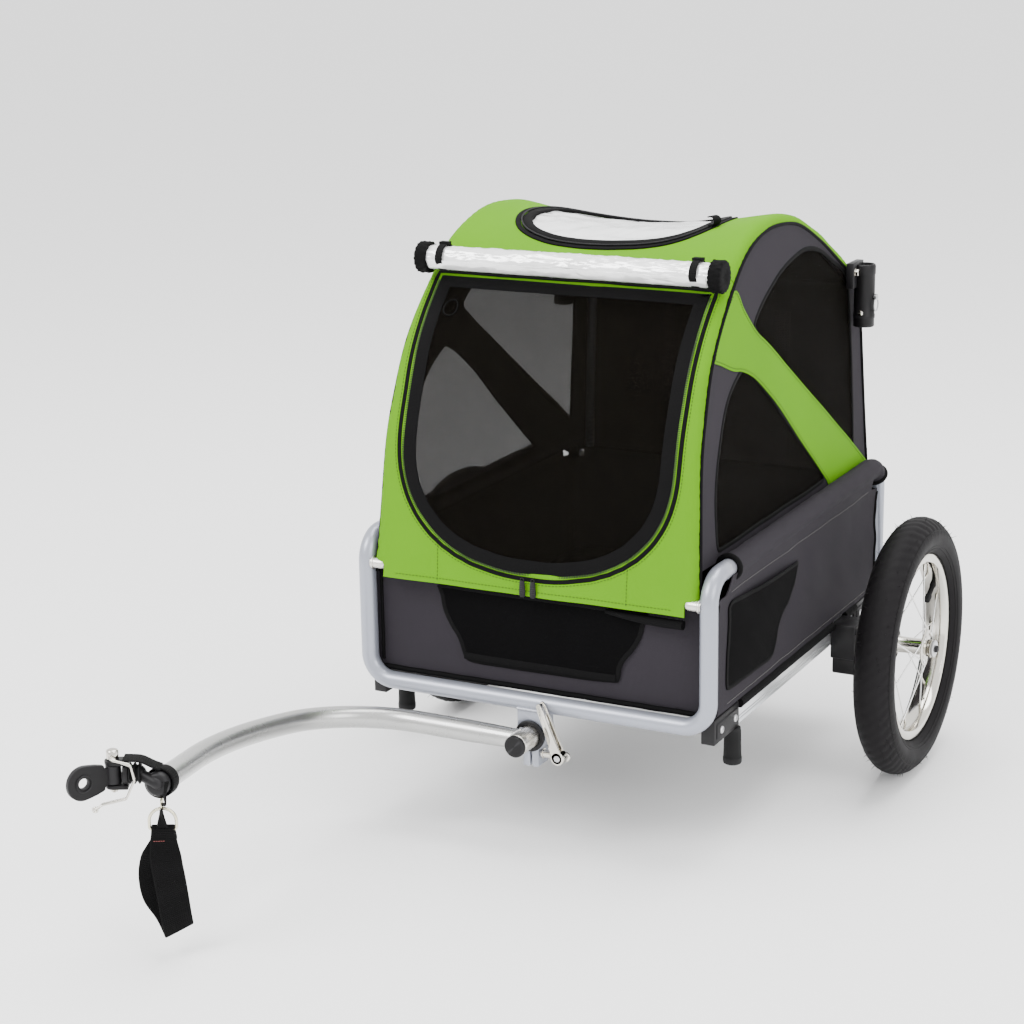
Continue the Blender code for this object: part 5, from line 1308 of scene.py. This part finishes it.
for a_side, a_sign in SIDES.items():
    make_tub_side(a_side, a_sign)
trim = Shape()
trim.tube([place(-0.198 + 0.396 * i / 60, 0.0098, 0.1838 + 0.0006 * noise.noise(Vector((i * 0.3, 0, 0))))
           for i in range(61)], 0.0031, 12)
trim.tube([place(-0.198 + 0.396 * i / 60, FRAME_LENGTH - 0.0098, 0.1838) for i in range(61)], 0.0031, 12)
for x in (-0.2000, 0.2000):
    trim.tube([place(x, 0.0108, 0.192 + 0.118 * i / 20) for i in range(21)], 0.0019, 10)
trim.tube([place(0.088 + 0.094 * i / 24, 0.0035 - 0.0045 * (i / 24), 0.2900 - 0.0030 * math.sin(i / 24 * 2.2))
           for i in range(25)], [0.0025 + 0.0028 * math.sin(math.pi * min(1.0, i / 16) / 2)
                                 for i in range(25)], 16)
trim.build("tub_trim", "tape")
for board_name in ("floor_board",):
    NODES[board_name].data.materials.clear()
    NODES[board_name].data.materials.append(M["board"])


def make_mat():
    """Quilted floor mat: crowned channels between sewn lines, rounded at the border."""
    low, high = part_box("floor_mat")
    columns, lines = 56, 72
    channels = 5
    top, under = [], []
    for j in range(lines + 1):
        v = j / lines
        top_row, under_row = [], []
        for i in range(columns + 1):
            u = i / columns
            rim_x = 1 - abs(2 * u - 1) ** 14
            rim_y = 1 - abs(2 * v - 1) ** 18
            crown = abs(math.sin(math.pi * channels * u)) ** 0.45
            full = min(rim_x, rim_y) ** 0.5
            x = low.x + (high.x - low.x) * u
            y = low.y + (high.y - low.y) * v
            middle = (low.z + high.z) / 2 - 0.002
            lift = (high.z - middle) * full * (0.72 + 0.26 * crown)
            lift += 0.0006 * noise.noise(Vector((x * 40, y * 40, 1.0))) * full
            top_row.append(Vector((x, y, min(middle + lift, high.z))))
            under_row.append(Vector((x, y, middle - (middle - low.z) * full * 0.98)))
        top.append(top_row)
        under.append(under_row)
    mat = Shape().grid([a + b[::-1] for a, b in zip(top, under)], wrap=True, caps=True)
    made = mat.build("floor_pad", "black", stands_for="floor_mat", sharp=70)


make_mat()


# ---- handlebar sockets --------------------------------------------------------------
def make_socket(side, sign):
    x, y = sign * 0.2045, 0.5035
    out = ALONG_X * sign
    tube_wall = Shape()
    profile = [(0.0, 0.0105), (0.0, 0.0122), (0.0008, 0.0128), (0.0100, 0.0128), (0.0110, 0.0134),
               (0.0150, 0.0134),
               (0.0160, 0.0128), (0.0640, 0.0128), (0.0650, 0.0134), (0.0745, 0.0134), (0.0765, 0.0128),
               (0.0770, 0.0120), (0.0770, 0.0105)]
    base = place(x, y, 0.526)
    tube_wall.grid([circle(base + UP * d, ALONG_X, ALONG_Y, r, 48) for d, r in profile], wrap=True, loop=True)
    x_in = side_x(0.526) + 0.0006
    tube_wall.box(place(min(sign * x_in, sign * 0.1985), 0.4795, 0.575),
                  place(max(sign * x_in, sign * 0.1985), 0.5155, 0.606))
    tube_wall.build(f"socket_{side}", "plastic", bevel=0.0007, stands_for=f"handle_socket_{side}")
    bolts = Shape()
    spot = place(sign * 0.1985, 0.4862, 0.5945)
    bolts.lathe(spot, out, [(0.0, 0.0056), (0.0010, 0.0056), (0.0012, 0.0044), (0.0040, 0.0044),
                            (0.0048, 0.0036),
                            (0.0048, 0.0)], 24)
    bolts.lathe(place(x, y - 0.0124, 0.5440), -ALONG_Y, [(0.0, 0.0032), (0.0012, 0.0032), (0.0018, 0.0024),
                                                        (0.0018, 0.0)], 20)
    bolts.build(f"socket_bolts_{side}", "chrome")
    start = place(sign * 0.2005, y, 0.563)
    pin = Shape()
    pin.lathe(start, out, [(0.0, 0.0016), (0.0010, 0.0022), (0.0178, 0.0022), (0.0178, 0.0036),
                           (0.0184, 0.0038),
                           (0.0204, 0.0038), (0.0208, 0.0033), (0.0208, 0.0)], 24)
    pin.ring(start + out * 0.0193 - UP * 0.0095, ALONG_X, 0.0075, 0.0009, 40, 10)
    pin.build(f"locking_pin_{side}", "steel", f"socket_pin_{side}", f"socket_pin_{side}")


# ---- tow clamp ----------------------------------------------------------------------
def make_clamp():
    centre_z = CLAMP_Z
    outline = [(0.0014, 0.0985), (0.0085, 0.0985), (0.0095, 0.0995), (0.0095, centre_z - 0.0170)]
    outer = [math.radians(-58 + 84 * i / 18) for i in range(19)]
    outline += [(0.0190 * math.cos(a), centre_z + 0.0190 * math.sin(a)) for a in outer]
    outline += [(0.0165, centre_z + 0.0120), (0.0165, 0.1690), (0.0155, 0.1700)]
    outline += [(-x, z) for x, z in reversed(outline[1:])]
    outline += [(-0.0014, 0.0985)]
    gap = math.asin(0.0014 / 0.0161)
    inner = [(-math.pi / 2 - gap) - (2 * math.pi - 2 * gap) * i / 56 for i in range(57)]
    outline += [(0.0161 * math.cos(a), centre_z + 0.0161 * math.sin(a)) for a in inner]
    bracket = Shape().plate([place(x, -0.0090, z) for x, z in outline], ALONG_Y * 0.0250)
    bracket.build("clamp_body", "frame", bevel=0.0007, stands_for="tow_bracket")
    weld = Shape()
    for y in (-0.0090, 0.0150):
        weld.tube([place(-0.0165 + 0.033 * i / 16, y + 0.0004 * math.sin(i * 2.4), 0.1655)
                   for i in range(17)],
                  0.0018, 10)
    weld.build("clamp_weld", "frame")
    Shape().grid([circle(place(0.0, y, centre_z), ALONG_X, UP, r, 56) for y, r in (
        (-0.0125, 0.0131), (-0.0129, 0.0140), (-0.0129, 0.0172), (-0.0122, 0.0180), (-0.0100, 0.0180),
        (-0.0096, 0.0158), (0.0175, 0.0158), (0.0180, 0.0150), (0.0180, 0.0131))], wrap=True,
        loop=True).build("clamp_liner", "plastic", stands_for="clamp_bush")
    bolt = Shape()
    start = place(-0.0145, -0.0015, 0.1135)
    bolt.lathe(start, ALONG_X, [(0.0, 0.0046), (0.0006, 0.0052), (0.0040, 0.0052), (0.0046, 0.0046)], 6)
    bolt.lathe(start + ALONG_X * 0.0040, ALONG_X, [(0.0, 0.0030), (0.0450, 0.0030)], 24)
    bolt.lathe(start + ALONG_X * 0.0262, ALONG_X, [(0.0, 0.0058), (0.0012, 0.0060), (0.0016, 0.0046),
                                                  (0.0100, 0.0044), (0.0104, 0.0038)], 28)
    bolt.ring(start + ALONG_X * 0.0540, ALONG_Y, 0.0040, 0.0021, 30, 10)
    bolt.build("clamp_screw", "chrome", bevel=0.0, stands_for="clamp_bolt")
    pivot, tip = place(0.0395, 0.0, 0.1185), place(0.0160, 0.0, 0.1800)
    along = (tip - pivot).normalized()
    across = Vector((along.z, 0.0, -along.x))
    lever = Shape()
    lever.lathe(pivot + ALONG_Y * -0.0235, ALONG_Y, [(0.0, 0.0074), (0.0008, 0.0082), (0.0115, 0.0082),
                                                    (0.0123, 0.0074)], 36)
    for y in (-0.0235, -0.0140):
        profile = []
        for i in range(9):
            turn = math.radians(90 + 180 * i / 8)
            profile.append((0.0066 * math.cos(turn), 0.0066 * math.sin(turn)))
        for distance, half in ((0.018, 0.0048), (0.038, 0.0039), (0.056, 0.0037), (0.0640, 0.0026),
                               (0.0655, 0.0)):
            profile.append((distance, -half))
        upper = [(d, -h) for d, h in reversed(profile[9:-1])]
        points = [pivot + along * d + across * -h + ALONG_Y * y for d, h in profile + upper]
        lever.plate(points, ALONG_Y * 0.0028)
    bridge = [pivot + along * d + across * h + ALONG_Y * -0.0230 for d, h in (
        (0.050, 0.0030), (0.0640, 0.0021), (0.0640, -0.0021), (0.050, -0.0030))]
    lever.plate(bridge, ALONG_Y * 0.0110)
    lever.build("lever", "chrome", "cam_lever", "cam_lever", bevel=0.0007)
    rivet = Shape().lathe(pivot + ALONG_Y * -0.0243, ALONG_Y,
                          [(0.0, 0.0020), (0.0008, 0.0036), (0.0014, 0.0036)], 20)
    rivet.build("lever_rivet", "steel", "cam_lever")


# ---- towbar and hitch ---------------------------------------------------------------
def towbar_path(fine=1):
    """The bar's centreline: sideways, round a tight bend, then forwards in a slack one."""
    spots = [(0.0, TOWBAR_Y), (-0.035, TOWBAR_Y), (-0.070, TOWBAR_Y), (-0.105, TOWBAR_Y)]
    x, y, heading = -0.135, TOWBAR_Y, 180.0
    for radius, sweep, pieces in ((0.115, 80.0, 10 * fine), (0.45, 26.0, 5 * fine)):
        centre_x = x + radius * math.cos(math.radians(heading + 90))
        centre_y = y + radius * math.sin(math.radians(heading + 90))
        for i in range(pieces + 1):
            turn = math.radians(heading - 90 + sweep * i / pieces)
            spots.append((centre_x + radius * math.cos(turn), centre_y + radius * math.sin(turn)))
        x, y = spots[-1]
        heading += sweep
    end = math.radians(heading)
    spots.append((x + 0.098 * math.cos(end), y + 0.098 * math.sin(end)))
    path = []
    for x, y in spots:
        point = place(x, y, CLAMP_Z + TOWBAR_RISE * (TOWBAR_Y - y))
        if not path or (point - path[-1]).length > 0.002:
            path.append(point)
    return path


BAR = towbar_path(4)
BAR_END = BAR[-1]
BAR_WAY = (BAR[-1] - BAR[-2]).normalized()
HITCH_WAY = Vector((-0.887, -0.4625, 0.0)).normalized()
HITCH_SIDE = Vector((-HITCH_WAY.y, HITCH_WAY.x, 0.0))
PLATE_WAY = Vector((-0.403, -0.915, 0.0)).normalized()
PLATE_FACE = Vector((-PLATE_WAY.y, PLATE_WAY.x, 0.0))
FLEX = BAR_END + HITCH_WAY * 0.022 + UP * 0.010
PIN = FLEX + HITCH_WAY * 0.025 + UP * 0.0045
RING = BAR_END + Vector((-0.0050, 0.0060, -0.0456))
RING_ACROSS = Vector((0.887, 0.4625, 0.0)).normalized()
RING_FACING = Vector((0.4625, -0.887, 0.0)).normalized()


def make_towbar():
    radii = [TOWBAR_R * (0.86 if i == 0 else 0.93 if i == 1 else 1.0) for i in range(len(BAR))]
    Shape().tube(BAR, radii, 48).build("bar", "towbar", "towbar", "towbar")
    stub = Shape()
    stub.lathe(place(0.0, -0.0449, CLAMP_Z), ALONG_Y, [(0.0, 0.0119), (0.0008, STUB_R), (0.0700, STUB_R),
                                                      (0.0709, 0.0119)], 56)
    stub.build("bar_stub", "bare", "towbar")
    weld = Shape()
    bead = []
    for k in range(56):
        turn = 2 * math.pi * k / 56
        y = 0.0122 * math.cos(turn)
        x = -math.sqrt(max(0.0, STUB_R**2 - (0.0122 * math.sin(turn)) ** 2)) - 0.0004
        bead.append(place(x, TOWBAR_Y + y, CLAMP_Z + 0.0122 * math.sin(turn)))
    weld.tube(bead, [0.0013 + 0.0003 * math.sin(k * 1.7) for k in range(56)], 8, loop=True)
    weld.build("bar_weld", "towbar", "towbar")
    Shape().lathe(place(0.0, -0.0454, CLAMP_Z), -ALONG_Y, [(0.0, 0.0122), (0.0006, 0.0125), (0.0036, 0.0125),
                                                          (0.0049, 0.0115), (0.0052, 0.0095), (0.0050, 0.0)],
                  48).build("bar_cap", "plastic", "towbar", "stub_cap")
    neck = Shape()
    start = BAR_END + BAR_WAY * 0.0004
    neck.lathe(start, BAR_WAY, [(0.0, 0.0124), (0.0008, 0.0127), (0.0095, 0.0127), (0.0125, 0.0108),
                                (0.0135, 0.0090)], 40)
    link_path = [start + BAR_WAY * 0.0070, start + BAR_WAY * 0.0115 + UP * 0.0015, FLEX]
    neck.tube(smooth_path(link_path, 8), 0.0060, 24)
    neck.ball(FLEX, 0.0085, rows=14, sides=28)
    neck.build("neck", "plastic", "towbar", "bar_neck")
    collar = Shape()
    for d in (-0.0075, -0.0035):
        collar.ring(BAR_END + BAR_WAY * d, BAR_WAY, 0.0128, 0.0016, 44, 10)
    collar.build("bar_collar", "rubber", "towbar")


def make_coupler():
    fork = Shape()
    fork.lathe(FLEX + HITCH_WAY * 0.0092, HITCH_WAY, [(0.0, 0.0105), (0.0006, 0.0115), (0.0048, 0.0115),
                                                     (0.0060, 0.0105)], 36)
    for level in (0.0108, -0.0148):
        outline = [FLEX + HITCH_WAY * 0.0100 + HITCH_SIDE * 0.0085,
                   FLEX + HITCH_WAY * 0.0100 - HITCH_SIDE * 0.0085]
        for i in range(17):
            turn = math.pi * i / 16
            outline.append(Vector((PIN.x, PIN.y, FLEX.z)) - HITCH_SIDE * (0.0085 * math.cos(turn))
                           + HITCH_WAY * (0.0085 * math.sin(turn)))
        fork.plate([p + UP * level for p in outline], UP * 0.0040)
    for level in (0.0147, -0.0149):
        fork.ring(Vector((PIN.x, PIN.y, FLEX.z + level)), UP, 0.0058, 0.0010, 30, 8)
    fork.build("coupler_fork", "plastic", "coupler", "coupler", bevel=0.0008)
    boot = Shape()
    profile = []
    for i in range(25):
        d = -0.0035 + 0.0125 * i / 24
        profile.append((d, 0.0098 + 0.0014 * math.sin(2 * math.pi * (d + 0.0075) / 0.0048)))
    boot.lathe(FLEX, HITCH_WAY, profile, 36)
    boot.build("flex_boot", "rubber", "coupler")


def make_hitch_plate():
    foot = Vector((PIN.x, PIN.y, FLEX.z))
    drop = UP * 0.0015
    half, reach = 0.0175, 0.035
    outline = [(0.0062, -0.0086), (0.0112, -0.0086), (0.0118, -0.0128), (0.0200, -0.0152),
               (0.031, -half + 0.0003)]
    outline += [(reach + half * math.sin(math.pi * i / 24), -half * math.cos(math.pi * i / 24))
                for i in range(25)]
    outline += [(d, -h) for d, h in reversed(outline[:5])]
    hole = [(reach + 0.0060 * math.cos(2 * math.pi * i / 36), 0.0060 * math.sin(2 * math.pi * i / 36))
            for i in range(36)]
    loop, ring_loop = flat_loop(outline, 0.0022), flat_loop(hole, 0.0011)

    def surface(d, h, lift=0.0):
        return foot + PLATE_WAY * d + UP * h - drop + PLATE_FACE * lift

    plate = Shape()
    verts, faces = fill(loop, [ring_loop], 0.004)
    for lift in (-0.0025, 0.0025):
        inner = Shape()
        inner.points = [surface(v.x, v.y, lift) for v in verts]
        base = len(plate.points)
        plate.points += inner.points
        plate.faces += [tuple(base + i for i in face) for face in faces]
        plate.slots += [0] * len(faces)
        plate.uvs += [tuple(tuple(verts[i]) for i in face) for face in faces]
    rim_section = [(0.0, 0.0026), (0.0006, 0.0019), (0.0006, -0.0019), (0.0, -0.0026)]
    for loop_now, way in ((loop, -1), (ring_loop, 1)):
        rows = [[surface(p.x, p.y, h) for p in offset_loop(loop_now, d * way)] for d, h in rim_section]
        plate.grid(rows, wrap=True, loop=True)
    plate.lathe(foot - UP * 0.0102, UP, [(0.0, 0.0072), (0.0008, 0.0080), (0.0196, 0.0080),
                                         (0.0204, 0.0072)], 36)
    for lift in (-0.0030, 0.0030):
        rim = [surface(d, h, lift) for d, h in ((reach + 0.0085 * math.cos(2 * math.pi * i / 40),
                                                 0.0085 * math.sin(2 * math.pi * i / 40)) for i in range(40))]
        plate.tube(rim, 0.0009, 8, loop=True)
    plate.build("axle_plate", "plastic", "hitch_plate", "hitch_plate", sharp=40)


def make_pin():
    base = Vector((PIN.x, PIN.y, FLEX.z - 0.0200))
    pin = Shape()
    pin.lathe(base, UP, [(0.0, 0.0020), (0.0010, 0.0034), (0.0354, 0.0035), (0.0354, 0.0050),
                         (0.0362, 0.0062),
                         (0.0440, 0.0062), (0.0452, 0.0056), (0.0460, 0.0040), (0.0460, 0.0)], 36)
    pin.build("pin_shaft", "chrome", "hitch_pin", "hitch_pin")
    Shape().ring(base + UP * 0.0362, UP, 0.0050, 0.0014, 36, 10).build("pin_washer", "rubber", "hitch_pin")
    hinge = Vector((PIN.x, PIN.y, FLEX.z + 0.0206))
    back = -HITCH_WAY
    wire = Shape()
    for offset in (0.0, 0.0030):
        side = HITCH_SIDE * (0.0140 + offset)
        corners = [hinge + HITCH_SIDE * 0.0066, hinge + side,
                   hinge + side + back * 0.020 - UP * (0.008 - offset),
                   hinge + side + back * 0.0235 - UP * 0.022, hinge + side + back * 0.014 - UP * 0.042,
                   hinge + side - back * 0.010 - UP * 0.047 + HITCH_SIDE * 0.0020,
                   hinge + side - back * 0.0165 - UP * (0.0520 - offset) + HITCH_SIDE * 0.0078]
        wire.tube(rounded_path(corners, 0.004, 8), 0.0012, 14)
    wire.ring(hinge + HITCH_SIDE * 0.0226 - back * 0.0165 - UP * 0.0505, HITCH_SIDE, 0.0024, 0.0011, 24, 8)
    wire.build("bail_wire", "chrome", "pin_bail", "pin_bail")


RING_BAR_DROP = 0.0088
STRAP_LINE = [(-0.0035, 0.0, 0.0), (-0.0024, 0.0, 0.0024), (0.0, 0.0, 0.0031), (0.0060, 0.0, 0.0023),
              (0.0120, 0.0, 0.0018), (0.0327, 0.0020, 0.0065), (0.0545, 0.0055, 0.0100),
              (0.0774, 0.0085, 0.0115), (0.0970, 0.0102, 0.0090), (0.1079, 0.0107, 0.0045),
              (0.1117, 0.0102, 0.0000), (0.1090, 0.0077, -0.0050), (0.0959, 0.0007, -0.0100),
              (0.0774, -0.0110, -0.0120), (0.0545, -0.0140, -0.0105), (0.0327, -0.0100, -0.0065),
              (0.0120, -0.0005, -0.0018), (0.0060, 0.0, -0.0023), (0.0, 0.0, -0.0031),
              (-0.0024, 0.0, -0.0024)]


def make_strap():
    half = 0.0138
    spots = [(half * math.cos(math.pi * i / 28), half * math.sin(math.pi * i / 28)) for i in range(29)]
    spots += [(-half, -RING_BAR_DROP + 0.0024), (-half + 0.0007, -RING_BAR_DROP + 0.0007),
              (-half + 0.0024, -RING_BAR_DROP), (half - 0.0024, -RING_BAR_DROP),
              (half - 0.0007, -RING_BAR_DROP + 0.0007), (half, -RING_BAR_DROP + 0.0024)]
    outline = resample([RING + RING_ACROSS * x + UP * z for x, z in spots], 0.0011, loop=True)
    Shape().tube(outline, 0.0017, 14, loop=True).build("hook_ring", "zinc", "strap_ring", "strap_ring")
    bar = RING - UP * RING_BAR_DROP
    line = [bar - UP * down + RING_ACROSS * side + RING_FACING * front for down, side, front in STRAP_LINE]
    path = resample(smooth_path(line, 6, loop=True), 0.0022, loop=True)
    twisted = (RING_ACROSS * 0.94 - RING_FACING * 0.34 + UP * 0.373).normalized()
    rows, ribs, falls = [], Shape(), []
    for i, p in enumerate(path):
        fall = min(1.0, max(0.0, (bar - p).z / 0.1117))
        mix = fall * fall * (3.0 - 2.0 * fall)
        way = (RING_ACROSS * (1.0 - mix) + twisted * mix).normalized()
        wide = 0.0118 + 0.0044 * min(1.0, fall * 4)
        out = (path[(i + 1) % len(path)] - path[i - 1]).cross(way).normalized()
        rows.append([p + way * (w * wide) + out * (t * 0.00105)
                     for w, t in ((-1, -0.6), (-0.93, -1), (0.93, -1), (1, -0.6), (1, 0.6), (0.93, 1),
                                  (-0.93, 1), (-1, 0.6))])
        falls.append((fall, way, wide, out))
        for face in (-1, 1):
            spot = p + out * (face * 0.00105)
            ribs.tube([spot - way * (wide * 0.95), spot, spot + way * (wide * 0.95)],
                      [0.0004, 0.00055, 0.0004], 5)
    loop = Shape().grid(rows, wrap=True, loop=True)
    loop.build("loop_webbing", "webbing", "safety_strap", "safety_strap", sharp=50)
    ribs.build("loop_ribs", "webbing", "safety_strap", sharp=50)
    seam = Shape()
    for i, (fall, way, wide, out) in enumerate(falls):
        if i < len(path) / 2 and 0.095 < fall < 0.118:
            seam.stitches([path[i] + out * 0.0016 + way * (-0.0105 + 0.012 * k / 10) for k in range(11)],
                          pitch=0.0026, length=0.0019, wire=0.0004)
    seam.build("loop_seam", "pink_thread", "safety_strap")


def make_wraps():
    """Webbing sewn round the bar's end, down to the ring, and over the flexible joint."""
    turns = Shape()
    middle = BAR_END + BAR_WAY * -0.0030
    a, b = frames([middle, middle + BAR_WAY])[0]
    path = circle(middle, a, b, 0.0149, 48)
    turns.ribbon(path, BAR_WAY, 0.0170, 0.0020, loop=True)
    turns.build("neck_webbing", "webbing", "towbar", sharp=50)
    top = middle + RING_FACING * 0.0165 - UP * 0.004 + RING_ACROSS * 0.004
    spots = [top + UP * 0.010, top, top - UP * 0.016 - RING_FACING * 0.004,
             RING + UP * 0.0185 + RING_FACING * 0.002,
             RING + UP * 0.0060 + RING_FACING * 0.0040, RING - UP * 0.0050 + RING_FACING * 0.0055]
    down = smooth_path(spots, 10)
    strip = []
    for i, p in enumerate(down):
        u = i / (len(down) - 1)
        way = (RING_ACROSS * math.cos(1.5 * math.sin(math.pi * u))
               + RING_FACING * math.sin(1.5 * math.sin(math.pi * u)))
        wide = 0.0060 - 0.0024 * math.sin(math.pi * u)
        out = way.cross(UP).normalized()
        strip.append([p + way * (w * wide) + out * (t * 0.0010)
                      for w, t in ((-1, -1), (1, -1), (1, 1), (-1, 1))])
    sling = Shape().grid(strip, wrap=True, caps=True).build("ring_sling", "webbing", "", sharp=50,
                                                            bevel=0.0003)
    keeper = Shape().ring(RING + UP * 0.0200, RING_ACROSS, 0.0058, 0.0009, 36, 10)
    keeper.build("ring_keeper", "zinc", "towbar")
    over = smooth_path([BAR_END + UP * 0.0150 - BAR_WAY * 0.004, BAR_END + UP * 0.0190 + HITCH_WAY * 0.006,
                        FLEX + UP * 0.0150 - HITCH_WAY * 0.004, FLEX + UP * 0.0162 + HITCH_WAY * 0.006,
                        FLEX + UP * 0.0164 + HITCH_WAY * 0.0140], 8)
    lid = Shape().ribbon(over, HITCH_SIDE, 0.0200, 0.0020)
    made = lid.build("joint_webbing", "webbing", "", sharp=50)
    return made, sling


def make_pulls():
    for number, x in ((1, -0.0065), (2, 0.0065)):
        low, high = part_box(f"zip_pull_{number}")
        top, face = high.z, low.y
        tab = [(-0.0024, -0.0036), (0.0024, -0.0036), (0.0031, -0.0080), (0.0036, -0.0186), (0.0030, -0.0214),
               (0.0016, -0.0225), (-0.0016, -0.0225), (-0.0030, -0.0214), (-0.0036, -0.0186),
               (-0.0031, -0.0080)]
        pull = Shape().plate([Vector((x + a, face, top + b)) for a, b in tab], ALONG_Y * 0.0018)
        pull.ring(Vector((x, face + 0.0009, top - 0.0026)), ALONG_Y, 0.0021, 0.0006, 24, 8)
        for k in range(4):
            z = top - 0.0105 - 0.0022 * k
            pull.tube([Vector((x - 0.0026, face, z)), Vector((x + 0.0026, face, z))], 0.0004, 6)
        pull.build(f"pull_tab_{number}", "plastic", f"zip_pull_{number}", f"zip_pull_{number}", bevel=0.0003)


for a_side, a_sign in SIDES.items():
    make_socket(a_side, a_sign)
make_clamp()
make_towbar()
make_coupler()
make_hitch_plate()
make_pin()
make_strap()
JOINT_STRAP, RING_SLING = make_wraps()
make_pulls()


# ---- camera, light and floor --------------------------------------------------------
def make_camera():
    yaw, pitch, roll = (math.radians(a) for a in (27.5517, 15.3837, -0.9646))
    ahead = Vector((-math.sin(yaw) * math.cos(pitch), math.cos(yaw) * math.cos(pitch), -math.sin(pitch)))
    right = Vector((math.cos(yaw), math.sin(yaw), 0.0))
    above = right.cross(ahead)
    x_axis = right * math.cos(roll) + above * math.sin(roll)
    y_axis = -right * math.sin(roll) + above * math.cos(roll)
    data = bpy.data.cameras.new("camera")
    data.lens = 82.17
    data.sensor_width = 36.0
    camera = bpy.data.objects.new("camera", data)
    bpy.context.scene.collection.objects.link(camera)
    turn = Matrix((x_axis, y_axis, -ahead)).transposed().to_4x4()
    camera.matrix_world = Matrix.Translation(place(1.1244, -2.2003, 1.0735)) @ turn
    bpy.context.scene.camera = camera


def area_light(name, spot, target, size, power):
    data = bpy.data.lights.new(name, "AREA")
    data.shape = "DISK"
    data.size = size
    data.energy = power
    lamp = bpy.data.objects.new(name, data)
    lamp.location = spot
    lamp.rotation_mode = "QUATERNION"
    lamp.rotation_quaternion = (Vector(target) - Vector(spot)).to_track_quat("-Z", "Y")
    bpy.context.scene.collection.objects.link(lamp)


def make_studio():
    world = bpy.data.worlds.new("studio")
    world.use_nodes = True
    world.node_tree.nodes["Background"].inputs[0].default_value = (1.0, 1.0, 1.0, 1.0)
    world.node_tree.nodes["Background"].inputs[1].default_value = 1.9
    bpy.context.scene.world = world
    floor = Shape()
    floor.points = [Vector((x, y, -0.0006)) for x, y in ((-30, -30), (30, -30), (30, 30), (-30, 30))]
    floor.faces, floor.slots = [(0, 1, 2, 3)], [0]
    floor.uvs = [((0, 0), (1, 0), (1, 1), (0, 1))]
    mesh = bpy.data.meshes.new("floor")
    mesh.from_pydata([tuple(p) for p in floor.points], [], floor.faces)
    made = bpy.data.objects.new("floor", mesh)
    bpy.context.scene.collection.objects.link(made)
    mesh.materials.append(material("pale_floor", (0.94, 0.94, 0.94), 0.75, mottle=(0.4, 0.004),
                                   grain=(40, 0.00002)))
    area_light("key", (-1.6, -2.4, 3.0), (0.0, 0.0, 0.3), 2.0, 130)
    area_light("fill", (2.8, -1.2, 1.8), (0.0, 0.0, 0.3), 2.0, 50)
    area_light("top", (0.2, 0.6, 3.2), (0.0, 0.1, 0.3), 2.4, 100)


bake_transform(JOINT_STRAP)
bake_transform(RING_SLING)
make_camera()
make_studio()
